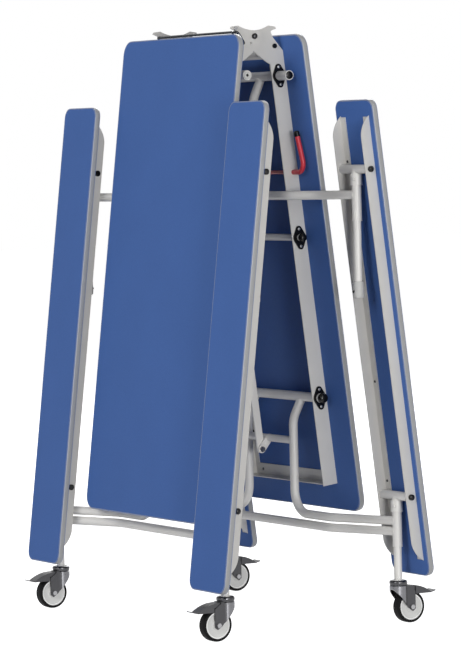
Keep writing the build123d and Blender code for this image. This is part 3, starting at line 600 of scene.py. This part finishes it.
def board_grid(node, half, side, size, profile):
    """A profile of (reach past the corner's centre, height) pairs carried round a board.

    The outward direction (cos, sin) turns through a quarter circle at each corner. place =
    middle + (corner centre + reach * outward) along and across the board + height through it.
    """
    length, width, corner = size
    quarter = np.arange(4)[:, None] * np.pi / 2 + np.linspace(0, np.pi / 2, CORNER_STEPS)
    outward = np.stack((np.cos(quarter), np.sin(quarter)), axis=-1).reshape(-1, 2)
    signs = np.array(((1, 1), (-1, 1), (-1, -1), (1, -1))).repeat(CORNER_STEPS, axis=0)
    centres = signs * (length / 2 - corner, width / 2 - corner)
    low, high = (np.array(limit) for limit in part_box(node))
    middle = (low + high) / 2 * TURN[half]
    middle[1] = side
    profile = np.asarray(profile, float)
    flat = centres[:, None] + outward[:, None] * profile[None, :, :1]
    height = np.broadcast_to(profile[None, :, 1:], (*flat.shape[:2], 1))
    return middle + flat[..., :1] * along() + flat[..., 1:] * SIDE_AXIS + height * through()


class CAFETERIA_OT_boards(bpy.types.Operator):
    """Make the laminated tops and seats, out to their edge bands"""

    bl_idname = "cafeteria.boards"
    bl_label = "Boards"

    def execute(self, context):
        for board, _, half, side, size in BOARDS:
            node = f"{board}_{half}"
            reach = size[2] - sizes().face_inset
            profile = (
                (reach - ARRIS, -BOARD_HALF), (reach, ARRIS - BOARD_HALF),
                (reach, BOARD_HALF - ARRIS), (reach - ARRIS, BOARD_HALF),
            )
            grid = board_grid(node, half, side, size, profile)
            piece = self.slab(f"{board}_laminate_{half}", grid * TURN[half], BODY_OF[node])
            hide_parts(node)
        return {"FINISHED"}

    def slab(self, name, grid, body):
        """A closed slab from the grid of its rim, with one flat face over and one under."""
        rows, columns = grid.shape[:2]
        rim = grid_faces(rows, columns, True).reshape(rows, columns, 4)[:, :-1]
        index = np.arange(rows * columns).reshape(rows, columns)
        faces = rim.reshape(-1, 4).tolist() + [index[:, -1].tolist(), index[::-1, 0].tolist()]
        return build_piece(name, grid.reshape(-1, 3), faces, "laminate", body, SHARP_BOARD)


class CAFETERIA_OT_bands(bpy.types.Operator):
    """Run the rounded edge band round every top and seat"""

    bl_idname = "cafeteria.bands"
    bl_label = "Edge bands"

    def execute(self, context):
        for _, band, half, side, size in BOARDS:
            node = f"{band}_{half}"
            grid = board_grid(node, half, side, size, self.profile(size[2]))
            piece = make_piece(f"{node}_band", half, [grid], "edge", BODY_OF[node], closed=True,
                               sharp=SHARP_BAND)
            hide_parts(node)
        return {"FINISHED"}

    def profile(self, corner):
        """The band's section: a superellipse that is flat against the board.

        With the angle from under to over, reach = corner radius + depth * (cos ** (2 / power) -
        1), and height = half thickness * sin ** (2 / power).
        """
        deep = sizes().band_round
        angle = np.linspace(-np.pi / 2, np.pi / 2, 19)
        power = 2 / BAND_POWER
        reach = deep * (np.abs(np.cos(angle)) ** power - 1)
        height = BAND_HALF * np.sign(angle) * np.abs(np.sin(angle)) ** power
        bulge = np.stack((corner + reach, height), axis=-1)
        inset, tall = BAND_BACK
        back = np.array(((-deep - inset, tall), (-deep - inset, -tall)))
        return np.concatenate((bulge, back + (corner, 0)))


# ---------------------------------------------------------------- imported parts
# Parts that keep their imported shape, and the finish of each.
COPIED = {
    "bearings": "nylon", "main_hinge_bolts": "nylon", "upper_bench_bolts": "nylon",
    "lower_bench_bolts": "nylon", "locking_bail": "bail", "tyre": "tread",
    "upper_frame": "enamel", "upper_slide_legs": "enamel",
    "table_rails": "rail", "bench_rails": "rail",
}

# Bolts in a hinge plate: station, height, radius past the head, and number of the finish.
PLATE_BOLTS = ((0.0395, 0.072, 0.0079, 1), (-0.016, 0.070, 0.0064, 2))
LAPPED_FACE = 0.0064  # outer face of the lapped plate past the rail's
FLUSH_FACE = 0.0001  # outer face of the flush plate past the rail's
LINK_PIN = (-0.029, 0, -0.18)  # from a pivot to the pin of its lift link
LINK_PIN_HEAD = 0.0092  # radius past the head of that pin
HINGE_DOME = millimetres((0, -1), (4.8, -1), (4.6, 0.4), (3, 0.9), (0, 1.1))


def family(node):
    """The name of a part without its side and half."""
    for tail in ("_a", "_b", "_left", "_right"):
        node = node.removesuffix(tail)
    return node


def end_caps(node, pivot, profile):
    """A turned cap on each end of a cross bolt through a pivot."""
    low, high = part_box(node)
    return [
        turned(profile, pivot + low.y * SIDE_AXIS, -SIDE_AXIS),
        turned(profile, pivot + high.y * SIDE_AXIS, SIDE_AXIS),
    ]


class CAFETERIA_OT_frames(bpy.types.Operator):
    """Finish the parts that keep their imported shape, and shade their tubes smoothly"""

    bl_idname = "cafeteria.frames"
    bl_label = "Frames"

    def execute(self, context):
        for name in NODES:
            if family(name) in COPIED:
                smooth_copy(name, [COPIED[family(name)]])
        return {"FINISHED"}


class CAFETERIA_OT_hinge(bpy.types.Operator):
    """Finish the hinge plates with their bolts, and the lift linkage with its pins"""

    bl_idname = "cafeteria.hinge"
    bl_label = "Hinge"

    def execute(self, context):
        for half in HALVES:
            turn = TURN[half]
            smooth_copy(f"hinge_plates_{half}", ["plate", "nylon", "zinc"],
                        lambda middles: self.bolt_faces(middles * turn))
            smooth_copy(f"lift_link_{half}", ["enamel"])
            for node, pivot in (("crank_shaft", SHAFT), ("lower_frame", LOWER)):
                smooth_copy(f"{node}_{half}", ["enamel", "zinc"],
                            lambda middles: self.pin_faces(middles * turn, pivot))
        centres = end_caps("main_hinge_bolts", HINGE, HINGE_DOME)
        make_piece("hinge_bolt_centres", "b", centres, "steel", BODY_OF["main_hinge_bolts"])
        return {"FINISHED"}

    def bolt_faces(self, middles):
        """Black for the tail bolts, bright for the horn pins, and the coat for the rest."""
        side = middles[:, 1]
        outside = (side > RAIL_SIDE + LAPPED_FACE) | (side < -RAIL_SIDE - FLUSH_FACE)
        numbers = np.zeros(len(middles), int)
        for station, height, radius, number in PLATE_BOLTS:
            bolt = board_place(HINGE, station, height, 0)
            numbers[(off_axis(middles, bolt) < radius) & outside] = number
        return numbers

    def pin_faces(self, middles, pivot):
        """The pins of the lift link are plated."""
        return off_axis(middles, pivot + LINK_PIN) < LINK_PIN_HEAD


# ---------------------------------------------------------------- fasteners and plugs
BEARING_FLANGE = 0.005  # thickness of a bearing's flange
BEARING_SCREWS = (-0.0275, 0.0275)  # from a pivot to its screws, along the rail
RAIL_FLANGE = 0.003  # thickness of a rail's flange
RAIL_SCREWS = (0.26, 0.56, 0.82, 1.06, 1.3)  # stations of the screws in the table rails
RAIL_SCREW_SIDE = 0.233  # middle of the table to the screws of a rail
END_SCREWS = 1.424, (-0.2, 0.0, 0.2)  # station of the end angle, and the sides of its screws
BENCH_SCREWS = (-1.05, -0.672, -0.356, -0.04)  # stations of the screws in the bench rails
BENCH_SCREW_SIDES = (-0.067, 0.067)  # from the middle of a bench

# Profiles of the plugs, with heights over the end of the tube.
FLUSH_PLUG = millimetres(
    (0, -10), (12.9, -10), (12.9, -0.2), (12.2, 1.4), (9, 2.8), (4.5, 3.4), (0, 3.6),
)
CUPPED_PLUG = millimetres(
    (0, -10), (12.9, -10), (12.9, 0), (11.8, 1.6), (9.5, 2), (5.2, 1.4), (3.6, -3), (0, -3.4),
)
PLUG_CENTRE = millimetres((0, -5), (4.6, -5), (4.6, -0.6), (3.2, 0.4), (0, 0.7))
BALL_PLUG = millimetres(
    (0, -12), (10.5, -11.8), (12.7, -10.5), (13.2, 0), (12.2, 3.6), (9.5, 6.4), (5, 8), (0, 8.5),
)
BOLT_DOME = millimetres(
    (0, -2), (8.8, -2), (8.8, 0.3), (8.1, 1.5), (6.4, 2.6), (3.4, 3.4), (0, 3.7),
)

# Plugs of the upper pivot tube: name, profile, side of the tube's end, way out and finish.
UPPER_PLUGS = (
    ("pivot_plugs", FLUSH_PLUG, -0.311, -1, "nylon"),
    ("pale_plugs", CUPPED_PLUG, 0.359, 1, "foot"),
    ("plug_centres", PLUG_CENTRE, 0.359, 1, "nylon"),
)
# Ball plugs: body, pivot, and width as a part of the profile's.
BALL_PLUGS = (("crank", SHAFT, 0.95), ("lower_frame", LOWER, 1.19))
BALL_PLUG_SIDE = RAIL_SIDE + 0.024
BENCH_BOLTS = (("lower_bench_bolts", BENCH), ("upper_bench_bolts", UPPER + POST))


def pan_head(centre, axis, diameter):
    """A pan head: flat under, domed over, with a round recess where the driver goes.

    Its radii and heights are parts of the head's radius, from a flat foot sunk by 0.6 mm.
    """
    r = diameter / 2
    sunk = -0.0006
    profile = (
        (0, sunk), (r, sunk), (r, 0.28 * r), (0.9 * r, 0.48 * r), (0.66 * r, 0.6 * r),
        (0.34 * r, 0.64 * r), (0.28 * r, 0.3 * r), (0, 0.28 * r),
    )
    return turned(profile, centre, axis, 20)


class CAFETERIA_OT_screws(bpy.types.Operator):
    """Fasten the bearings, rails and bench rails with their screws"""

    bl_idname = "cafeteria.screws"
    bl_label = "Screws"

    def execute(self, context):
        for half in HALVES:
            table = f"table_{half}"
            make_piece(f"bearing_screws_{half}", half, self.bearing_screws(), "zinc", table)
            make_piece(f"board_screws_{half}", half, self.rail_screws(), "steel", table)
            for side in SIDES:
                screws = self.bench_screws(SIGN[side] * BENCH_SIDE)
                make_piece(f"bench_screws_{side}_{half}", half, screws, "steel",
                           f"bench_{side}_{half}")
        return {"FINISHED"}

    def bearing_screws(self):
        """Two pan heads on each bearing flange, in line with the rail."""
        size = sizes().screw_head
        face = RAIL_SIDE + BEARING_FLANGE
        stations = [(pivot - HINGE) @ along() for pivot in (UPPER, SHAFT, LOWER)]
        return [
            pan_head(board_place(HINGE, station + offset, PIVOT_HEIGHT, way * face),
                     way * SIDE_AXIS, size)
            for station in stations
            for offset in BEARING_SCREWS
            for way in WAYS
        ]

    def rail_screws(self):
        """Screws up through the rail flanges, and three through the end angle."""
        size = sizes().board_screw
        under = TOP_UNDER - RAIL_FLANGE
        station, sides = END_SCREWS
        spots = [(place, under, way * RAIL_SCREW_SIDE) for place in RAIL_SCREWS for way in WAYS]
        spots += [(station, under, side) for side in sides]
        return [pan_head(board_place(HINGE, *spot), -through(), size) for spot in spots]

    def bench_screws(self, middle):
        """Screws up through the flanges of the bench rails into the seat."""
        size = sizes().board_screw
        under = SEAT_UNDER - RAIL_FLANGE
        return [
            pan_head(board_place(BENCH, station, under, middle + side), -through(), size)
            for station in BENCH_SCREWS
            for side in BENCH_SCREW_SIDES
        ]


class CAFETERIA_OT_plugs(bpy.types.Operator):
    """Plug the open ends of the tubes, and cap the bench bolts"""

    bl_idname = "cafeteria.plugs"
    bl_label = "Plugs"

    def execute(self, context):
        for half in HALVES:
            for name, profile, end, way, key in UPPER_PLUGS:
                plug = turned(profile, UPPER + end * SIDE_AXIS, way * SIDE_AXIS)
                make_piece(f"{name}_{half}", half, [plug], key, f"upper_frame_{half}")
            for body, pivot, width in BALL_PLUGS:
                shape = BALL_PLUG * (width, 1)
                caps = [turned(shape, pivot + way * BALL_PLUG_SIDE * SIDE_AXIS, way * SIDE_AXIS)
                        for way in WAYS]
                make_piece(f"{body}_plugs_{half}", half, caps, "nylon", f"{body}_{half}")
            for node, pivot in BENCH_BOLTS:
                domes = end_caps(f"{node}_b", pivot * (1, 0, 1), BOLT_DOME)
                make_piece(f"{node}_domes_{half}", half, domes, "nylon",
                           BODY_OF[f"{node}_{half}"], sharp=SHARP_DOMED)
        return {"FINISHED"}


# ---------------------------------------------------------------- frames
LEG_SIDE = 0.142  # middle of the pivot tube to the root of a leg
LEG_BEND = (0, 0.058, -0.075)  # from the root of a leg to where it hangs straight
SPREADER_DROP = 0.144  # pivot tube to the spreader
SPREADER_RADIUS = 0.012
ARM_SIDE = 0.3  # middle of the table to the inner end of an outrigger
ARM_DROP = 0.079  # bench bolt to the outriggers
BRACE_DROP = 0.112  # bench bolt to the lower brace
# Body, pivot, and drops of the tubes that end on its posts.
FRAMES = (("upper_frame", UPPER, (ARM_DROP,)), ("lower_frame", LOWER, (ARM_DROP, BRACE_DROP)))
RIVET_DROP = 0.031  # bench bolt to the collar rivets
RIVET_AXIS = (-0.84, 0.54)  # square to the outrigger of the right-hand post
RIVET_SEAT = 0.0192  # middle of a post to the foot of its rivets
HEMS = ((COLLAR_RADIUS, 0.05), (TUBE_RADIUS, 0.16))  # radius, and drop from the bench bolt

# A hem's section, with radii past its tube's.
HEM = millimetres((-2, -0.2), (0.9, 0.4), (1.2, 1.4), (0.9, 2.4), (-2, 3.6))
# A glide foot's profile, first over its sole and then from its top down into the tube's end.
FOOT_SOLE = millimetres(
    (0, 0), (12.8, 0), (15.8, 1.2), (17.6, 4.5), (17.8, 20), (17.2, 21), (17.2, 23.2),
    (17.6, 24.5),
)
FOOT_TOP = millimetres((17, -4), (15.8, -0.8), (12.8, 0), (12.6, -12), (12.6, -34), (0, -34))
FOOT_PIN = millimetres((0, 0), (4.2, 0), (4.2, 2.8), (3.4, 4.2), (0, 4.6))
FOOT_PIN_PLACE = (-0.0166, 0, 0.021)  # from the middle of the sole


def post_place(pivot, way):
    """The place of a post's bench bolt on the frame that hangs from a pivot."""
    return pivot + POST + way * BENCH_SIDE * SIDE_AXIS


class CAFETERIA_OT_welds(bpy.types.Operator):
    """Lay the weld beads and set the domed rivets of the post collars"""

    bl_idname = "cafeteria.welds"
    bl_label = "Welds"

    def execute(self, context):
        for half in HALVES:
            for body, pivot, drops in FRAMES:
                make_piece(f"{body}_welds_{half}", half, self.beads(pivot, drops), "enamel",
                           f"{body}_{half}", closed=True, sharp=SHARP_DOMED)
                make_piece(f"{body}_rivets_{half}", half, self.rivets(pivot), "enamel",
                           f"{body}_{half}", sharp=SHARP_DOMED)
        return {"FINISHED"}

    def beads(self, pivot, drops):
        """Beads where legs, spreader, outriggers and brace meet their tubes."""
        beads = []
        for way in WAYS:
            root = pivot + way * LEG_SIDE * SIDE_AXIS
            leg = pivot + (way * LEG_SIDE + LEG_BEND[1]) * SIDE_AXIS
            beads.append(weld_bead(root, LEG_BEND, LEG_RADIUS, SIDE_AXIS, TUBE_RADIUS))
            beads.append(weld_bead(leg - SPREADER_DROP * UP, -way * SIDE_AXIS, SPREADER_RADIUS,
                                   UP, LEG_RADIUS))
            post = post_place(pivot, way)
            inwards = (-POST[0], -way * (BENCH_SIDE - ARM_SIDE), 0)
            for drop in drops:
                beads.append(weld_bead(post - drop * UP, inwards, LEG_RADIUS, UP, TUBE_RADIUS))
        return beads

    def rivets(self, pivot):
        """A domed rivet through each post collar, square to its outrigger."""
        r = sizes().rivet / 2
        dome = (
            (0, -0.003), (r, -0.003), (r, 0.0002), (0.85 * r, 0.0016), (0.5 * r, 0.0026),
            (0, 0.003),
        )
        rivets = []
        for way in WAYS:
            axis = unit((RIVET_AXIS[0], way * RIVET_AXIS[1], 0))
            post = post_place(pivot, way) - RIVET_DROP * UP
            rivets.append(turned(dome, post + RIVET_SEAT * axis, axis))
            rivets.append(turned(dome, post - RIVET_SEAT * axis, -axis))
        return rivets


class CAFETERIA_OT_feet(bpy.types.Operator):
    """Make the glide feet with their cross pins, and hem the ends of the posts"""

    bl_idname = "cafeteria.feet"
    bl_label = "Feet and hems"

    def execute(self, context):
        low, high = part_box("glide_feet_b")
        tall = high.z - low.z
        foot = np.concatenate((FOOT_SOLE, FOOT_TOP + (0, tall)))
        for half in HALVES:
            feet = []
            pins = []
            for way in WAYS:
                sole = post_place(UPPER, way)
                sole[2] = low.z
                feet.append(turned(foot, sole, UP, 40))
                pins.append(turned(FOOT_PIN, sole + FOOT_PIN_PLACE, (-1, 0, 0)))
            frame_body = f"upper_frame_{half}"
            piece = make_piece(f"glide_feet_{half}_turned", half, feet, "foot", frame_body)
            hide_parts(f"glide_feet_{half}")
            make_piece(f"foot_pins_{half}", half, pins, "nylon", frame_body)
            for body, pivot, _ in FRAMES:
                make_piece(f"{body}_hems_{half}", half, self.hems(pivot), "enamel",
                           f"{body}_{half}", sharp=SHARP_DOMED)
        return {"FINISHED"}

    def hems(self, pivot):
        """Rolled hems at the foot of each collar and of each post."""
        return [
            turned(HEM + (radius, 0), post_place(pivot, way) - drop * UP, UP, 36)
            for way in WAYS
            for radius, drop in HEMS
        ]


# ---------------------------------------------------------------- handle and casters
GRIP_CAP = 0.0188  # height of the black cap on the grip
RACE_TOP = 0.1345  # floor to the top of a race
FORK_SPLIT = 0.01  # middle of a swivel to where a fork's front, painted lighter as a highlight, meets its darker cheeks
AXLE_NUT = (0.0088, 0.0205)  # radius past an axle nut, and middle of a fork to its foot
RIM_RADIUS = 0.033  # inside of a wheel centre's rim
PEDAL_LIP = 0.1085  # middle of a swivel to the lip of its pedal

# Bulged shell of a race, with heights over the floor.
RACE = millimetres(
    (14.5, 134.6), (21.5, 135.4), (25.2, 134.6), (27.5, 132.4), (28.4, 129.2), (28.2, 125.6),
    (27.4, 122.6), (27.1, 120.6), (24.5, 120.6),
)


class CAFETERIA_OT_handle(bpy.types.Operator):
    """Dip the release handle in vinyl and cap its grip"""

    bl_idname = "cafeteria.handle"
    bl_label = "Release handle"

    def execute(self, context):
        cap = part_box("release_handle")[1].z - GRIP_CAP
        smooth_copy("release_handle", ["grip", "nylon"], lambda middles: middles[:, 2] > cap)
        return {"FINISHED"}


class CAFETERIA_OT_casters(bpy.types.Operator):
    """Finish the caster stems, races, forks, pedals and wheel centres"""

    bl_idname = "cafeteria.casters"
    bl_label = "Casters"

    def execute(self, context):
        for half in HALVES:
            smooth_copy(f"caster_stems_{half}", ["enamel", "race"], self.race_faces, SHARP_PRESSED)
            races = [turned(RACE, JOINT[f"caster_swivel_{side}_b"] * (1, 1, 0), UP, 40)
                     for side in SIDES]
            make_piece(f"race_shells_{half}", half, races, "race",
                       BODY_OF[f"caster_stems_{half}"], sharp=SHARP_DOMED)
            for side in SIDES:
                self.caster(f"{side}_{half}", TURN[half])
        return {"FINISHED"}

    def caster(self, tail, turn):
        """The fork, the pedal and the wheel centre of one caster, seen from its swivel."""
        place = JOINT[f"caster_swivel_{tail}"]
        axle = (JOINT[f"wheel_spin_{tail}"] - place) * turn
        split = place + np.array((FORK_SPLIT, 0, 0)) * turn
        smooth_copy(f"caster_fork_{tail}", ["fork", "zinc", "skirt"],
                    lambda middles: self.fork_faces((middles - place) * turn, axle),
                    SHARP_PRESSED, (split, (1, 0, 0)))
        smooth_copy(f"brake_pedal_{tail}", ["fork", "worn"],
                    lambda middles: self.pedal_faces((middles - place) * turn), SHARP_PRESSED)
        smooth_copy(f"wheel_hub_{tail}", ["hub", "rim"],
                    lambda middles: self.rim_faces((middles - place) * turn, axle),
                    SHARP_PRESSED)

    def race_faces(self, middles):
        """The race and the kingpin take the race steel, its dark base painted dark reflection, and the stem is
        coated.
        """
        return middles[:, 2] < RACE_TOP

    def fork_faces(self, middles, axle):
        """Bright axle nuts, and a front painted lighter as a highlight before the darker cheeks, whose dark base
        is painted dark reflection.
        """
        radius, cheek = AXLE_NUT
        nuts = (off_axis(middles, axle) < radius) & (np.abs(middles[:, 1]) > cheek)
        return np.where(nuts, 1, np.where(middles[:, 0] < FORK_SPLIT, 2, 0))

    def pedal_faces(self, middles):
        """The lip at the end of the pedal is worn bright."""
        return middles[:, 0] > PEDAL_LIP

    def rim_faces(self, middles, axle):
        """The rim of the wheel centre is brighter than its web."""
        return off_axis(middles, axle) > RIM_RADIUS


# ---------------------------------------------------------------- studio
FLOOR_REACH = 40.0  # from the middle of the floor to its edges
AIM = (0, 0, 0.9)  # middle of the table, where the lamps point

# Lamps: name, place and size.
LAMPS = (
    ("key", (-9.5, -2.5, 5.5), 4.5),
    ("fill", (-0.8, -10.5, 3.8), 6.0),
    ("glint", (-2.6, -11.0, 1.0), 2.0),
    ("back", (7.0, 6.5, 6.0), 4.5),
)
CAMERA_PLACE = (-5.9462, -10.2094, 1.4964)
CAMERA_RIGHT = (0.86191278, -0.50657546, -0.0220833)
CAMERA_UP = (0.0445368, 0.03224978, 0.99848707)


class CAFETERIA_OT_studio(bpy.types.Operator):
    """Set the floor, the white room, the lamps and the camera"""

    bl_idname = "cafeteria.studio"
    bl_label = "Studio"

    def execute(self, context):
        stage = context.scene.cafeteria_stage
        self.floor(stage.floor)
        self.room(context.scene, stage.ambient)
        for name, place, size in LAMPS:
            self.lamp(f"{name}_lamp", place, size, getattr(stage, name))
        self.camera(context.scene, stage.lens)
        return {"FINISHED"}

    def floor(self, glow):
        """A pale floor that stays white to the camera and still takes the shadow."""
        mesh = bpy.data.meshes.new("floor")
        corners = FLOOR_REACH * np.array(((-1, -1, 0), (1, -1, 0), (1, 1, 0), (-1, 1, 0)))
        mesh.from_pydata(corners, [], [(0, 1, 2, 3)])
        floor = bpy.data.objects.new("floor", mesh)
        bpy.context.scene.collection.objects.link(floor)
        material = new_material("pale_floor", colours().floor)
        tree = material.node_tree
        paint = add_node(tree, "ShaderNodeBsdfDiffuse", {"Color": linear(colours().floor)})
        strength = add_node(tree, "ShaderNodeMath", {0: self.seen(tree), 1: glow},
                            operation="MULTIPLY")
        light = add_node(tree, "ShaderNodeEmission", {
            "Color": WHITE, "Strength": strength.outputs[0]})
        both = add_node(tree, "ShaderNodeAddShader", {0: paint.outputs[0], 1: light.outputs[0]})
        add_node(tree, "ShaderNodeOutputMaterial", {"Surface": both.outputs[0]})
        mesh.materials.append(material)

    def seen(self, tree):
        """One for rays from the camera, from gloss and through glass, and nought for the rest."""
        path = add_node(tree, "ShaderNodeLightPath")
        shiny = add_node(tree, "ShaderNodeMath", {
            0: path.outputs["Is Glossy Ray"], 1: path.outputs["Is Transmission Ray"]},
            operation="MAXIMUM")
        shown = add_node(tree, "ShaderNodeMath", {
            0: path.outputs["Is Camera Ray"], 1: shiny.outputs[0]}, operation="MAXIMUM")
        return shown.outputs[0]

    def room(self, scene, ambient):
        """A white surround that shows white and lights everything evenly."""
        world = bpy.data.worlds.new("white_room")
        world.use_nodes = True
        tree = world.node_tree
        tree.nodes.clear()
        strength = add_node(tree, "ShaderNodeMapRange", {
            "Value": self.seen(tree), "To Min": ambient, "To Max": 1.0})
        light = add_node(tree, "ShaderNodeBackground", {
            "Color": WHITE, "Strength": strength.outputs["Result"]})
        add_node(tree, "ShaderNodeOutputWorld", {"Surface": light.outputs[0]})
        scene.world = world

    def lamp(self, name, place, size, power):
        """A square soft box aimed at the middle of the table."""
        data = bpy.data.lights.new(name, "AREA")
        data.size = size
        data.energy = power
        lamp = bpy.data.objects.new(name, data)
        turn = (Vector(AIM) - Vector(place)).to_track_quat("-Z", "Y")
        lamp.matrix_world = Matrix.Translation(place) @ turn.to_matrix().to_4x4()
        bpy.context.scene.collection.objects.link(lamp)

    def camera(self, scene, lens):
        """A long lens from the front left, a little above the middle and slightly rolled."""
        right = Vector(CAMERA_RIGHT)
        up = Vector(CAMERA_UP)
        turn = Matrix((right, up, right.cross(up))).transposed().to_4x4()
        data = bpy.data.cameras.new("camera")
        data.sensor_fit = "AUTO"
        data.sensor_width = 36.0
        data.lens = lens
        data.clip_end = 200.0
        camera = bpy.data.objects.new("camera", data)
        camera.matrix_world = Matrix.Translation(CAMERA_PLACE) @ turn
        scene.collection.objects.link(camera)
        scene.camera = camera
        scene.view_settings.view_transform = "Standard"


# ---------------------------------------------------------------- panel
OPERATORS = (
    CAFETERIA_OT_boards,
    CAFETERIA_OT_bands,
    CAFETERIA_OT_frames,
    CAFETERIA_OT_hinge,
    CAFETERIA_OT_screws,
    CAFETERIA_OT_plugs,
    CAFETERIA_OT_welds,
    CAFETERIA_OT_feet,
    CAFETERIA_OT_handle,
    CAFETERIA_OT_casters,
    CAFETERIA_OT_studio,
)


class CAFETERIA_PT_panel(bpy.types.Panel):
    """The steps that dress the table, in order"""

    bl_idname = "CAFETERIA_PT_panel"
    bl_label = "Folding Cafeteria Table"
    bl_space_type = "VIEW_3D"
    bl_region_type = "UI"
    bl_category = "Cafeteria"

    def draw(self, context):
        column = self.layout.column(align=True)
        for operator in OPERATORS:
            column.operator(operator.bl_idname)


GROUPS = {
    "cafeteria_sizes": CafeteriaSizes,
    "cafeteria_colours": CafeteriaColours,
    "cafeteria_stage": CafeteriaStage,
}
CLASSES = (*GROUPS.values(), *OPERATORS, CAFETERIA_PT_panel)


def register():
    for item in CLASSES:
        bpy.utils.register_class(item)
    for name, group in GROUPS.items():
        setattr(bpy.types.Scene, name, PointerProperty(type=group))


def unregister():
    for name in GROUPS:
        delattr(bpy.types.Scene, name)
    for item in reversed(CLASSES):
        bpy.utils.unregister_class(item)


def main():
    register()
    for operator in OPERATORS:
        getattr(bpy.ops.cafeteria, operator.bl_idname.partition(".")[2])()
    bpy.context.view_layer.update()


if __name__ == "__main__":
    main()
